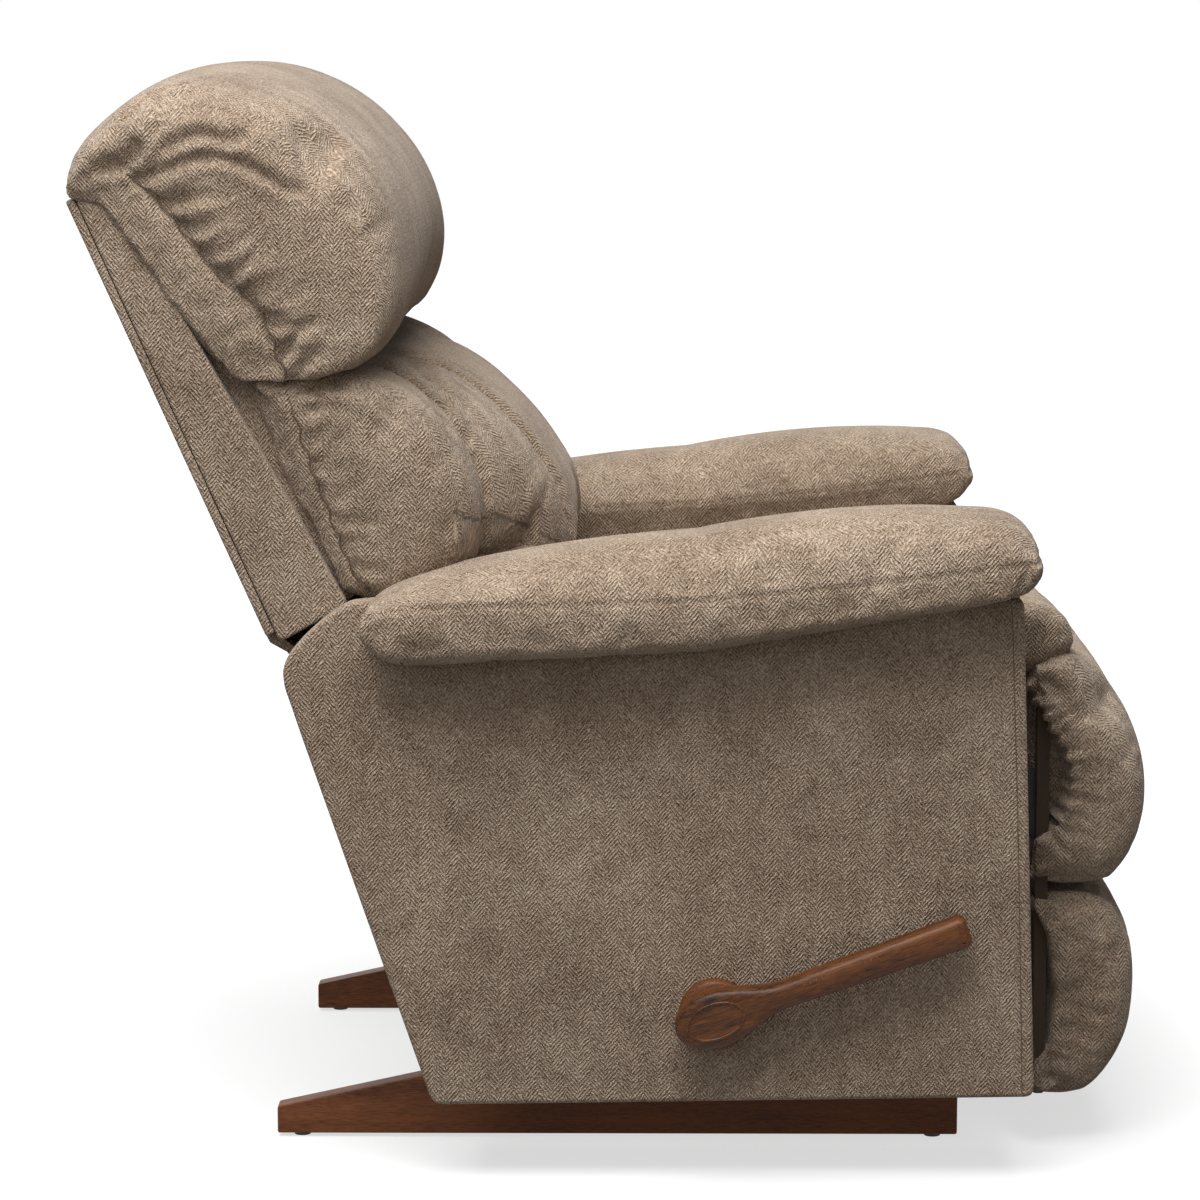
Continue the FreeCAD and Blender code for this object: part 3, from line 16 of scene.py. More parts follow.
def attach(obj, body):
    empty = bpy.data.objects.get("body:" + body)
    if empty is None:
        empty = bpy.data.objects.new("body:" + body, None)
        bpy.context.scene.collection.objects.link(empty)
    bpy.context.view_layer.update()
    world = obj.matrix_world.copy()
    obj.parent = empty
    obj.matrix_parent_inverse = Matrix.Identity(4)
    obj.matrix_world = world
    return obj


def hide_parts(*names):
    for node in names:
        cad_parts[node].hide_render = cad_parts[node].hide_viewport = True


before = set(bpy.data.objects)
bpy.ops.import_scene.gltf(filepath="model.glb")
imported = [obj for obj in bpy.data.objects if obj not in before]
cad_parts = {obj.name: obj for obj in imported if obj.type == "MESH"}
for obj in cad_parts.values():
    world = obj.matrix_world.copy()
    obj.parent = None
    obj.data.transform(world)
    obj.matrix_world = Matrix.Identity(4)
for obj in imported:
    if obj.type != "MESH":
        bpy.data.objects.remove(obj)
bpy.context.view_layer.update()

LOG = logging.getLogger("recliner")
MM = 0.001
# The sides are drawn in (forward, height) millimetres; the sitter faces -Y, and the chair's middle is 5.6 ahead.
MIDDLE_FORWARD = 5.6
# Pitch of a laid line's points, and radii of threads, in metres.
SEAM_STEP, STITCH_STEP, THREAD, FINE_THREAD = 0.002, 0.006, 0.0007, 0.0005
# A face lies sideways or upwards for the cloth map where its normal has this much of that axis.
SIDEWAYS_ROUND, SIDEWAYS_FLAT, UPWARDS = 0.74, 0.6, 0.75
# Steps of a cushion across, of a rounded corner and of a board's rounded rim, and frames of the cloth.
CUSHION_SECTIONS, CORNER_STEPS, RIM_STEPS, CLOTH_FRAMES = 32, 4, 5, 20

Colour = tuple[float, float, float, float]
Place = tuple[float, float, float]
Outline = list[tuple[float, float]]
Bowed = list[Place]


def table(*rows: tuple[float, ...]) -> list:
    """Dataclass field that starts as its own list of the rows."""
    return field(default_factory=lambda: list(rows))


class Slot(Enum):
    """The record's material slots, by whose names the CAD nodes take their finish."""

    WALNUT = "walnut"
    FABRIC = "upholstery"
    PLAIN_WOOD = "frame_wood"
    STEEL = "black_steel"
    ZINC = "zinc_steel"
    WEBBING = "webbing"
    NYLON = "nylon"


class Body(Enum):
    """The moving bodies that the pieces ride on."""

    BASE = "base"
    FRAME = "frame"
    DRIVE = "drive"
    LEGREST = "legrest"
    SEAT = "seat"
    BACK = "back"


def place(x: float, forward: float, height: float) -> Vector:
    """Point of the row frame, in metres, from millimetres across, forward and up."""
    return Vector((x * MM, (MIDDLE_FORWARD - forward) * MM, height * MM))


def srgb(red: int, green: int, blue: int) -> Colour:
    """Linear colour of a colour read as 0 to 255."""
    linear = [(v / 255 / 12.92) if v <= 10 else ((v / 255 + 0.055) / 1.055) ** 2.4 for v in (red, green, blue)]
    return (linear[0], linear[1], linear[2], 1.0)


def dimmed(colour: Colour, share: float) -> Colour:
    """The colour at a share of its strength."""
    return tuple(share * v for v in colour[:3]) + (1.0,)


class Nodes:
    """Short hand for building one node material."""

    def __init__(self, name: str) -> None:
        """Starts a material with a Principled shader on its output.

        Args:
            name: what the material is called.
        """
        self.material = bpy.data.materials.new(name)
        self.material.use_nodes = True
        self.tree = self.material.node_tree
        self.tree.nodes.clear()
        self.shader = self.new("BsdfPrincipled")
        output = self.new("OutputMaterial")
        self.tree.links.new(self.shader.outputs[0], output.inputs[0])

    def new(self, kind: str) -> bpy.types.Node:
        """Adds a shader node of a kind."""
        return self.tree.nodes.new("ShaderNode" + kind)

    def feed(self, socket: bpy.types.NodeSocket, value: object) -> None:
        """Links another socket to a socket, or sets its value.

        Args:
            socket: the socket that is fed.
            value: the other socket, or a number, colour or vector.
        """
        if isinstance(value, bpy.types.NodeSocket):
            self.tree.links.new(value, socket)
        else:
            socket.default_value = value

    def math(self, operation: str, *values: object) -> bpy.types.NodeSocket:
        """Result of a Math node on sockets or numbers.

        Args:
            operation: the node's operation.
            values: its inputs, in order.

        Returns:
            The result's socket.
        """
        node = self.new("Math")
        node.operation = operation
        for socket, value in zip(node.inputs, values):
            self.feed(socket, value)
        return node.outputs[0]

    def fused(self, value: object, share: object, rest: object) -> bpy.types.NodeSocket:
        """A value times a share, plus the rest."""
        return self.math("MULTIPLY_ADD", value, share, rest)

    def noise(self, vector: object, scale: float, detail: float = 2.0, rough: float = 0.5) -> bpy.types.NodeSocket:
        """Noise value at a scale.

        Args:
            vector: the place, as a socket.
            scale: how many swells a metre holds.
            detail, rough: how many finer layers it has, and how strong they are.

        Returns:
            A socket from 0 to 1.
        """
        node = self.new("TexNoise")
        self.feed(node.inputs["Vector"], vector)
        node.inputs["Scale"].default_value = scale
        node.inputs["Detail"].default_value = detail
        node.inputs["Roughness"].default_value = rough
        return node.outputs[0]

    def ramp(self, value: object, *stops: tuple[float, Colour]) -> bpy.types.NodeSocket:
        """Colour of a value between stops.

        Args:
            value: what picks the colour.
            stops: each colour after its value, from 0 to 1.

        Returns:
            The colour's socket.
        """
        node = self.new("ValToRGB")
        self.feed(node.inputs[0], value)
        stairs = node.color_ramp.elements
        while len(stairs) < len(stops):
            stairs.new(0.5)
        for stair, (where, colour) in zip(stairs, stops):
            stair.position, stair.color = where, colour
        return node.outputs[0]

    def mix(self, share: object, first: object, second: object) -> bpy.types.NodeSocket:
        """Mix of two colours.

        Args:
            share: how much of the second there is.
            first, second: the colours.

        Returns:
            The mixed colour's socket.
        """
        node = self.new("Mix")
        node.data_type = "RGBA"
        self.feed(node.inputs[0], share)
        self.feed(node.inputs[6], first)
        self.feed(node.inputs[7], second)
        return node.outputs[2]

    def stretched(self, vector: object, scale: Place) -> bpy.types.NodeSocket:
        """Vector scaled by axis.

        Args:
            vector: the place, as a socket.
            scale: the factor of each axis.

        Returns:
            The scaled place's socket.
        """
        node = self.new("Mapping")
        self.feed(node.inputs["Vector"], vector)
        node.inputs["Scale"].default_value = scale
        return node.outputs[0]

    def position(self) -> bpy.types.NodeSocket:
        """Object coordinates, which are metres of the chair."""
        return self.new("TexCoord").outputs["Object"]

    def weave_place(self) -> bpy.types.NodeSocket:
        """Coordinates along the cloth, in metres, from the piece's own map.

        Returns:
            The map's socket.
        """
        node = self.new("UVMap")
        node.uv_map = "cloth"
        return node.outputs[0]

    def bump(self, height: object, depth: float, strength: float) -> None:
        """Bump of a height on the shader.

        Args:
            height: the height, as a socket.
            depth: what a height of 1 is in metres.
            strength: how much of it shows, from 0 to 1.
        """
        node = self.new("Bump")
        node.inputs["Strength"].default_value = strength
        node.inputs["Distance"].default_value = depth
        self.feed(node.inputs["Height"], height)
        self.tree.links.new(node.outputs[0], self.shader.inputs["Normal"])

    def set(self, **values: object) -> None:
        """Sets the shader's sockets, with _ for a space."""
        for name, value in values.items():
            self.feed(self.shader.inputs[name.replace("_", " ")], value)


@dataclass(frozen=True)
class Chenille:
    """Herringbone chenille with a crushed nap.

    Attributes:
        column: width of a herringbone column; yarn: pitch of its slanted yarns; both in metres.
        wobble: how far a yarn strays, in metres. across, along: how the yarns and their nubs slant in a column.
        nub_size, fuzz_size, nap_size, crush_size: scales of the noises.
        nub_share, fuzz_share, nap_share, crush_share, yarn_share: how much each changes the tone.
    """

    name: str = "chenille"
    column: float = 0.0125
    yarn: float = 0.0043
    wobble: float = 0.0034
    across: float = 1.15
    along: float = -1.2
    nub_size: float = 430.0
    fuzz_size: float = 850.0
    nap_size: float = 9.0
    crush_size: float = 34.0
    nub_share: float = 0.75
    fuzz_share: float = 0.8
    nap_share: float = 0.34
    crush_share: float = 0.3
    yarn_share: float = 0.15
    dark: Colour = srgb(86, 66, 48)
    middle: Colour = srgb(160, 139, 119)
    light: Colour = srgb(222, 204, 182)

    def yarns(self, nodes: Nodes, cloth: bpy.types.NodeSocket) -> tuple[bpy.types.NodeSocket, bpy.types.NodeSocket]:
        """Height of the slanted yarns, and the nubs that lie along them.

        Args:
            nodes: the material that is being built.
            cloth: place on the cloth, in metres.

        Returns:
            Two sockets, each from about 0 to 1.
        """
        split = nodes.new("SeparateXYZ")
        nodes.feed(split.inputs[0], cloth)
        across, along = split.outputs[0], split.outputs[1]
        zigzag = nodes.math("PINGPONG", across, self.column)
        number = nodes.math("FLOOR", nodes.math("DIVIDE", across, self.column))
        wobble = nodes.math("MULTIPLY", nodes.math("SUBTRACT", nodes.noise(cloth, 170.0, 2.0), 0.5), self.wobble)
        slanted = nodes.math("ADD", nodes.fused(zigzag, self.across, along), wobble)
        slanted = nodes.fused(number, 0.5 * self.yarn, slanted)
        lengthwise = nodes.fused(zigzag, self.along, along)
        wave = nodes.math("SINE", nodes.math("MULTIPLY", slanted, 2 * math.pi / self.yarn))
        joined = nodes.new("CombineXYZ")
        nodes.feed(joined.inputs[0], slanted)
        nodes.feed(joined.inputs[1], nodes.math("MULTIPLY", lengthwise, 0.5))
        nodes.feed(joined.inputs[2], nodes.math("MULTIPLY", number, 0.01))
        return nodes.fused(wave, 0.5, 0.5), nodes.noise(joined.outputs[0], self.nub_size, 1.0)

    def material(self) -> bpy.types.Material:
        """The fabric as a material: yarns, nubs, crushed patches and a soft sheen.

        Returns:
            The new material.
        """
        nodes = Nodes(self.name)
        cloth, where = nodes.weave_place(), nodes.position()
        yarns, nubs = self.yarns(nodes, cloth)
        fuzz = nodes.noise(where, self.fuzz_size, 1.0, 0.6)
        nap = nodes.noise(where, self.nap_size, 3.0, 0.55)
        crush = nodes.noise(where, self.crush_size, 3.0, 0.6)
        tone = nodes.fused(yarns, self.yarn_share, 0.412)
        for value, share in ((nubs, self.nub_share), (fuzz, self.fuzz_share), (nap, self.nap_share),
                             (crush, self.crush_share)):
            tone = nodes.fused(nodes.math("SUBTRACT", value, 0.5), share, tone)
        colour = nodes.ramp(tone, (0.12, self.dark), (0.47, self.middle), (0.88, self.light))
        rough = nodes.fused(nap, 0.12, 0.84)
        nodes.set(Base_Color=colour, Roughness=rough, Specular_IOR_Level=0.12, Sheen_Weight=0.42,
                  Sheen_Roughness=0.38, Sheen_Tint=srgb(236, 230, 222))
        height = nodes.fused(nubs, 1.4, nodes.math("MULTIPLY", yarns, 0.7))
        nodes.bump(nodes.fused(fuzz, 0.6, height), 0.0016, 0.9)
        return nodes.material


@dataclass(frozen=True)
class Wood:
    """Stained or raw wood with grain along one axis (0 is X, 1 is Y, 2 is Z)."""

    name: str
    dark: Colour
    light: Colour
    along: int = 1
    gloss: float = 0.42
    coat: float = 0.25
    lean: float = 0.0

    def material(self) -> bpy.types.Material:
        """The wood as a material: growth bands, pores and a thin satin coat.

        Returns:
            The new material.
        """
        nodes = Nodes(self.name)
        turn = nodes.new("VectorRotate")
        turn.rotation_type = "X_AXIS"
        turn.inputs["Angle"].default_value = math.radians(self.lean)
        nodes.feed(turn.inputs["Vector"], nodes.position())
        where = turn.outputs[0]
        scale = [14.0, 14.0, 14.0]
        scale[self.along] = 0.9
        bands = nodes.noise(nodes.stretched(where, tuple(scale)), 5.0, 6.0, 0.62)
        pores = nodes.noise(nodes.stretched(where, tuple(9 * v for v in scale)), 9.0, 2.0, 0.7)
        patch = nodes.noise(where, 11.0, 2.0)
        tone = nodes.fused(pores, 0.75, nodes.math("MULTIPLY", bands, 0.6))
        tone = nodes.fused(nodes.math("SUBTRACT", patch, 0.5), 0.3, tone)
        nodes.set(Base_Color=nodes.ramp(tone, (0.5, self.dark), (0.86, self.light)),
                  Roughness=nodes.fused(pores, 0.22, self.gloss - 0.1),
                  Specular_IOR_Level=0.2, Coat_Weight=self.coat, Coat_Roughness=0.3)
        nodes.bump(tone, 0.0004, 0.55)
        return nodes.material


@dataclass(frozen=True)
class Metal:
    """Painted or plated steel."""

    name: str
    colour: Colour
    metallic: float
    rough: float

    def material(self) -> bpy.types.Material:
        """The steel as a material, with handling marks and faint scratches.

        Returns:
            The new material.
        """
        nodes = Nodes(self.name)
        where = nodes.position()
        marks = nodes.noise(where, 55.0, 4.0, 0.6)
        scratches = nodes.noise(nodes.stretched(where, (1.0, 0.06, 1.0)), 900.0, 2.0)
        worn = nodes.mix(nodes.math("MULTIPLY", marks, 0.4), self.colour, dimmed(self.colour, 0.6))
        nodes.set(Base_Color=worn, Metallic=self.metallic,
                  Roughness=nodes.fused(marks, 0.25, self.rough - 0.12))
        nodes.bump(scratches, 0.0001, 0.3)
        return nodes.material


@dataclass(frozen=True)
class Plain:
    """Nylon, the dark lining whose tone also stands for painted shade, thread and webbing: a fine speckle, and a
    crosswise rib where its pitch is given.
    """

    name: str
    colour: Colour
    rough: float
    rib: float = 0.0

    def material(self) -> bpy.types.Material:
        """The stuff as a material.

        Returns:
            The new material.
        """
        nodes = Nodes(self.name)
        where = nodes.position()
        speckle = nodes.noise(where, 700.0, 2.0)
        height = speckle
        if self.rib:
            split = nodes.new("SeparateXYZ")
            nodes.feed(split.inputs[0], where)
            turns = 2 * math.pi / self.rib
            waves = [nodes.math("SINE", nodes.math("MULTIPLY", axis, turns)) for axis in split.outputs[:2]]
            height = nodes.fused(nodes.math("MULTIPLY", waves[0], waves[1]), 0.5, speckle)
        tint = nodes.mix(nodes.math("MULTIPLY", height, 0.35), self.colour, dimmed(self.colour, 0.7))
        nodes.set(Base_Color=tint, Roughness=nodes.fused(speckle, 0.15, self.rough))
        nodes.bump(height, 0.0003, 0.5)
        return nodes.material


def turning(outline: Outline | Bowed) -> float:
    """1 where the outline runs anticlockwise, and -1 where it runs clockwise."""
    return 1.0 if sum(a[0] * b[1] - b[0] * a[1] for a, b in zip(outline, outline[1:] + outline[:1])) > 0 else -1.0


def bowed(corners: Bowed, steps: int) -> Outline:
    """Closed outline from corners whose edges may bow outwards.

    Args:
        corners: forward, height, and the bow of the edge that starts there as a share of it.
        steps: points on each edge.

    Returns:
        The outline's points, the same number for each edge.
    """
    points: Outline = []
    turn = turning(corners)
    for (f0, z0, bow), (f1, z1, _) in zip(corners, corners[1:] + corners[:1]):
        for step in range(steps):
            t = step / steps
            out = 4.0 * bow * t * (1.0 - t) * turn
            points.append((f0 + (f1 - f0) * t + (z1 - z0) * out, z0 + (z1 - z0) * t - (f1 - f0) * out))
    return points


def between(first: Outline, last: Outline, share: float) -> Outline:
    """Outline a share of the way from the first to the last."""
    return [(a[0] + (b[0] - a[0]) * share, a[1] + (b[1] - a[1]) * share) for a, b in zip(first, last)]


def shrunk(outline: Outline, amount: float) -> Outline:
    """Outline moved inwards by an amount, along the normals between its neighbours.

    Args:
        outline: the closed outline.
        amount: how far, in millimetres.

    Returns:
        The outline, with as many points.
    """
    turn = turning(outline)
    moved = []
    for before, here, after in zip(outline[-1:] + outline[:-1], outline, outline[1:] + outline[:1]):
        df, dz = after[0] - before[0], after[1] - before[1]
        size = math.hypot(df, dz) or 1.0
        moved.append((here[0] - turn * dz / size * amount, here[1] + turn * df / size * amount))
    return moved


def new_object(name: str, data: bpy.types.ID) -> bpy.types.Object:
    """Object of a mesh, lamp or camera, in the scene.

    Args:
        name: what it is called.
        data: the mesh, lamp or camera.

    Returns:
        The new object.
    """
    made = bpy.data.objects.new(name, data)
    bpy.context.scene.collection.objects.link(made)
    return made


def from_bmesh(name: str, build: bmesh.types.BMesh) -> bpy.types.Object:
    """Object of a finished bmesh, with its normals turned outwards.

    Args:
        name: what the object is called.
        build: the bmesh, which is freed.

    Returns:
        The new object.
    """
    bmesh.ops.recalc_face_normals(build, faces=build.faces)
    mesh = bpy.data.meshes.new(name)
    build.to_mesh(mesh)
    build.free()
    return new_object(name, mesh)


def loft(name: str, sections: list[tuple[float, Outline]]) -> bpy.types.Object:
    """Closed mesh through side outlines at places across, in millimetres.

    Args:
        name: what the object is called.
        sections: each place across with its outline, all with as many points.

    Returns:
        The new object.
    """
    build = bmesh.new()
    rings = [[build.verts.new(place(x, f, z)) for f, z in outline] for x, outline in sections]
    for low, high in zip(rings, rings[1:]):
        for i in range(len(low)):
            j = (i + 1) % len(low)
            build.faces.new((low[i], low[j], high[j], high[i]))
    caps = [build.faces.new(rings[0]), build.faces.new(rings[-1][::-1])]
    bmesh.ops.triangulate(build, faces=caps)
    return from_bmesh(name, build)


def applied(piece: bpy.types.Object) -> None:
    """Puts the piece's modifiers into its mesh.

    Args:
        piece: the piece, which ends without modifiers.
    """
    graph = bpy.context.evaluated_depsgraph_get()
    mesh = bpy.data.meshes.new_from_object(piece.evaluated_get(graph))
    piece.modifiers.clear()
    old, piece.data = piece.data, mesh
    mesh.name = piece.name
    bpy.data.meshes.remove(old)


def read_out(items: bpy.types.bpy_prop_collection, what: str, width: int = 3) -> np.ndarray:
    """What each item of a mesh holds, one a row; whole numbers where the width is 1.

    Args:
        items: the mesh's points, faces or corners.
        what: the name of what they hold.
        width: how many numbers each of them holds.

    Returns:
        The numbers.
    """
    held = np.empty(len(items) * width, dtype=np.int32 if width == 1 else np.float64)
    items.foreach_get(what, held)
    return held if width == 1 else held.reshape(-1, width)


def vertices(piece: bpy.types.Object) -> np.ndarray:
    """The piece's points, in metres, one a row."""
    return read_out(piece.data.vertices, "co")


def move_to(piece: bpy.types.Object, places: np.ndarray) -> None:
    """Puts the piece's points at the places."""
    piece.data.vertices.foreach_set("co", np.ascontiguousarray(places, dtype=np.float64).ravel())
    piece.data.update()


def smooth(piece: bpy.types.Object, angle: float) -> None:
    """Smooth shading, with edges sharper than the angle in degrees kept crisp.

    Args:
        piece: the piece.
        angle: the sharpest edge that is smoothed, in degrees.
    """
    piece.data.shade_smooth()
    build = bmesh.new()
    build.from_mesh(piece.data)
    for edge in build.edges:
        edge.smooth = not (len(edge.link_faces) == 2 and math.degrees(edge.calc_face_angle()) > angle)
    build.to_mesh(piece.data)
    build.free()


@dataclass
class Seam:
    """A sewn line on a soft piece.

    Attributes:
        points: places across, forward and up, in millimetres, near the surface.
        depth: how far it is drawn in; width: how wide the valley is; both in millimetres.
        gather: height of the puckers beside it, reach: how far they run, pitch: their spacing.
        side: 0 for puckers on both sides of it, -1 or 1 for one side; slant: how far they lean along it.
        shoulder: height of the swell beside it as a share of its depth.
        pinned: whether the simulation holds it; a free fold fades at its ends.
        mirrored: whether the far side has it too. thread: whether its stitching shows.
    """

    points: list[Place]
    depth: float = 3.0
    width: float = 4.0
    gather: float = 0.0
    reach: float = 26.0
    pitch: float = 15.0
    side: int = 0
    slant: float = 0.0
    shoulder: float = 0.0
    pinned: bool = True
    mirrored: bool = True
    thread: bool = False

    def lines(self) -> list[tuple[int, list[Vector]]]:
        """The line sampled every 2 mm or so with a sign of 1, and its mirror image with -1 if it has one.

        Returns:
            Each sign with its line's points.
        """
        made = []
        for side in ((1, -1) if self.mirrored else (1,)):
            corners = [place(side * x, f, z) for x, f, z in self.points]
            made.append((side, curve_through(corners, SEAM_STEP)))
        return made


Laid = list[tuple[Seam, int, list[Vector]]]


def fold(*points: Place, depth: float = 4.0, width: float = 5.0) -> Seam:
    """A loose fold with soft shoulders, which the simulation doesn't hold."""
    return Seam(list(points), depth=depth, width=width, shoulder=0.5, pinned=False)


def guide(*points: Place, mirrored: bool = True) -> Seam:
    """A line that only holds the cloth while it swells."""
    return Seam(list(points), depth=0.0, mirrored=mirrored)


@dataclass
class Dish:
    """A hollow in both ends of a soft piece.

    Attributes:
        outline: its outline from the side, in millimetres, which may reach past the piece.
        depth: how far it goes in; wall: how wide its sloping wall is; zone: how far across it moves points.
    """

    outline: Outline
    depth: float = 31.0
    wall: float = 8.0
    zone: float = 45.0

    def share(self, f: float, z: float) -> float:
        """How deep a side place lies in the hollow, from 0 to 1.

        Args:
            f, z: the place forward and up, in millimetres.

        Returns:
            The share, 0 outside the outline.
        """
        inside, nearest = False, 1e9
        for (f0, z0), (f1, z1) in zip(self.outline, self.outline[1:] + self.outline[:1]):
            if (z0 > z) != (z1 > z) and f < f0 + (z - z0) / (z1 - z0) * (f1 - f0):
                inside = not inside
            size = (f1 - f0) ** 2 + (z1 - z0) ** 2 or 1.0
            t = min(1.0, max(0.0, ((f - f0) * (f1 - f0) + (z - z0) * (z1 - z0)) / size))
            nearest = min(nearest, math.hypot(f - f0 - t * (f1 - f0), z - z0 - t * (z1 - z0)))
        t = min(1.0, nearest / self.wall) if inside else 0.0
        return t * t * (3.0 - 2.0 * t)


def curve_through(corners: list[Vector], step: float) -> list[Vector]:
    """Points a step apart on a smooth curve through the corners.

    Args:
        corners: the points that it passes.
        step: how far apart its points are, in metres.

    Returns:
        Its points, from the first corner to the last.
    """
    padded = [2 * corners[0] - corners[1]] + corners + [2 * corners[-1] - corners[-2]]
    dense = []
    for a, b, c, d in zip(padded, padded[1:], padded[2:], padded[3:]):
        count = max(2, int((c - b).length / step))
        for i in range(count):
            t = i / count
            dense.append(0.5 * (2 * b + (c - a) * t + (2 * a - 5 * b + 4 * c - d) * t * t
                                + (3 * b - a - 3 * c + d) * t ** 3))
    return dense + [corners[-1]]


def add_thread(build: bmesh.types.BMesh, line: list[Vector], finish: int, radius: float) -> None:
    """Adds a fine tube along a line, with the number of its material.

    Args:
        build: the bmesh that gets the tube.
        line: the tube's middle line.
        finish: the number of its material.
        radius: its radius in metres.
    """
    rings = []
    for i, spot in enumerate(line):
        onward = line[min(i + 1, len(line) - 1)] - line[max(i - 1, 0)]
        side = onward.cross(Vector((1, 0, 0))).normalized() * radius
        other = onward.cross(side).normalized() * radius
        rings.append([build.verts.new(spot + v) for v in (side, other, -side, -other)])
    for low, high in zip(rings, rings[1:]):
        for i in range(4):
            j = (i + 1) % 4
            build.faces.new((low[i], low[j], high[j], high[i])).material_index = finish
    for end in (rings[0][::-1], rings[-1]):
        build.faces.new(end).material_index = finish


@dataclass
class Cushion:
    """A stuffed piece: a crowned form between two side outlines, swollen as cloth, with its seams drawn in.

    Attributes:
        edge, crown: side outlines at the ends and in the middle, with as many corners.
        half_width, middle: reach across and where its middle is, in millimetres.
        fullness: exponent of the rounding across; low is round, high is square.
        start: how far inside the outlines it starts before it swells.
        grow: share by which the cloth is larger than the form, which makes its folds.
        limit: the most that a point may move, in millimetres.
        dish: a hollow in its ends. turned: radius of its ends' rims.
        profile: shares from edge to crown at places across, as shares of the reach, in place of the rounding.
    """

    name: str
    edge: Bowed
    crown: Bowed
    half_width: float
    middle: float = 0.0
    fullness: float = 3.2
    start: float = 7.0
    grow: float = 0.05
    limit: float = 24.0
    pressure: float = 4.0
    voxel: float = 0.0065
    steps: int = 12
    seams: list[Seam] = field(default_factory=list)
    dish: Dish | None = None
    profile: list[tuple[float, float]] = field(default_factory=list)
    turned: float = 0.0

    def sections(self) -> list[tuple[float, Outline]]:
        """Side outlines from one end to the other.

        Returns:
            Each place across with its outline, in millimetres.
        """
        edge = shrunk(bowed(self.edge, self.steps), 1.0)
        crown = shrunk(bowed(self.crown, self.steps), self.start)
        half = self.half_width - self.start
        made = []
        for step in range(CUSHION_SECTIONS + 1):
            angle = math.radians(-90.0 + 180.0 * step / CUSHION_SECTIONS)
            across = math.copysign(abs(math.sin(angle)) ** (2 / self.fullness), math.sin(angle))
            share = max(0.0, math.cos(angle)) ** (2 / self.fullness)
            if self.profile:
                share = float(np.interp(abs(across), *zip(*self.profile)))
            outline = between(edge, crown, share)
            into = self.turned - half * (1.0 - abs(across))
            if into > 0.0:
                outline = shrunk(outline, self.turned - math.sqrt(max(0.0, self.turned ** 2 - into ** 2)))
            made.append((self.middle + half * across, outline))
        return made

    def form(self) -> bpy.types.Object:
        """The form before it swells, as an even net.

        Returns:
            The new object.
        """
        piece = loft(self.name, self.sections())
        net = piece.modifiers.new("net", "REMESH")
        net.mode, net.voxel_size = "VOXEL", self.voxel
        applied(piece)
        return piece

    def seam_samples(self, piece: bpy.types.Object) -> Laid:
        """Each seam's lines, laid on the surface.

        Args:
            piece: the cushion as it is by then.

        Returns:
            Each seam with its lines' signs and points.
        """
        tree = BVHTree.FromPolygons([v.co.copy() for v in piece.data.vertices],
                                    [tuple(p.vertices) for p in piece.data.polygons])
        return [(seam, sign, [tree.find_nearest(spot)[0] for spot in line])
                for seam in self.seams for sign, line in seam.lines()]

    def swell(self, piece: bpy.types.Object, samples: Laid) -> None:
        """Runs the cloth under pressure, with the pinned seams held, and keeps the result.

        Args:
            piece: the cushion's form.
            samples: its seams, laid on it.
        """
        before = vertices(piece)
        group = piece.vertex_groups.new(name="held")
        index = KDTree(len(before))
        for i, spot in enumerate(before):
            index.insert(spot, i)
        index.balance()
        held = {i for seam, _, line in samples if seam.pinned for spot in line
                for _, i, _ in index.find_range(spot, self.voxel * 0.8)}
        group.add(sorted(held), 1.0, "REPLACE")
        cloth = piece.modifiers.new("cloth", "CLOTH")
        rules = cloth.settings
        rules.use_pressure, rules.uniform_pressure_force = True, self.pressure
        rules.shrink_min = -self.grow
        rules.quality, rules.mass = 4, 0.3
        rules.tension_stiffness = rules.compression_stiffness = 15.0
        rules.bending_stiffness = 0.35
        rules.effector_weights.gravity = 0.0
        if held:
            rules.vertex_group_mass = "held"
        scene = bpy.context.scene
        for step in range(1, CLOTH_FRAMES + 1):
            scene.frame_set(step)
        applied(piece)
        after = vertices(piece)
        move = after - before
        length = np.linalg.norm(move, axis=1)
        room = self.limit * MM
        soft = room * np.tanh(length / room) / np.maximum(length, 1e-9)
        move_to(piece, before + move * soft[:, None])
        scene.frame_set(1)

    def sew(self, piece: bpy.types.Object, samples: Laid) -> None:
        """Draws the seams in and raises the puckers beside them.

        Args:
            piece: the swollen cushion.
            samples: its seams, laid on it.
        """
        places, ways = vertices(piece), read_out(piece.data.vertex_normals, "vector")
        for number, (seam, sign, line) in enumerate(samples):
            tree = KDTree(len(line))
            for i, spot in enumerate(line):
                tree.insert(spot, i)
            tree.balance()
            run = np.concatenate([[0.0], np.cumsum([(b - a).length for a, b in zip(line, line[1:])])]) / MM
            reach = max(4 * seam.width, 2.6 * seam.reach if seam.gather else 0.0) * MM
            low = np.min([tuple(v) for v in line], axis=0) - reach
            high = np.max([tuple(v) for v in line], axis=0) + reach
            near = np.nonzero(np.all((places > low) & (places < high), axis=1))[0]
            for i in near:
                _, which, away = tree.find(places[i])
                away /= MM
                left = run[-1] - run[which]
                lift = -seam.depth * math.exp(-((away / seam.width) ** 2))
                lift += seam.shoulder * seam.depth * math.exp(-(((away - 2.3 * seam.width) / (1.2 * seam.width)) ** 2))
                if not seam.pinned:
                    lift *= min(1.0, (run[which] + 4.0) / 22.0, left / 55.0)
                if seam.gather:
                    lift += self.pucker(seam, sign, number, line, run, which, Vector(places[i]), Vector(ways[i]), away)
                places[i] += ways[i] * lift * MM
        move_to(piece, places)

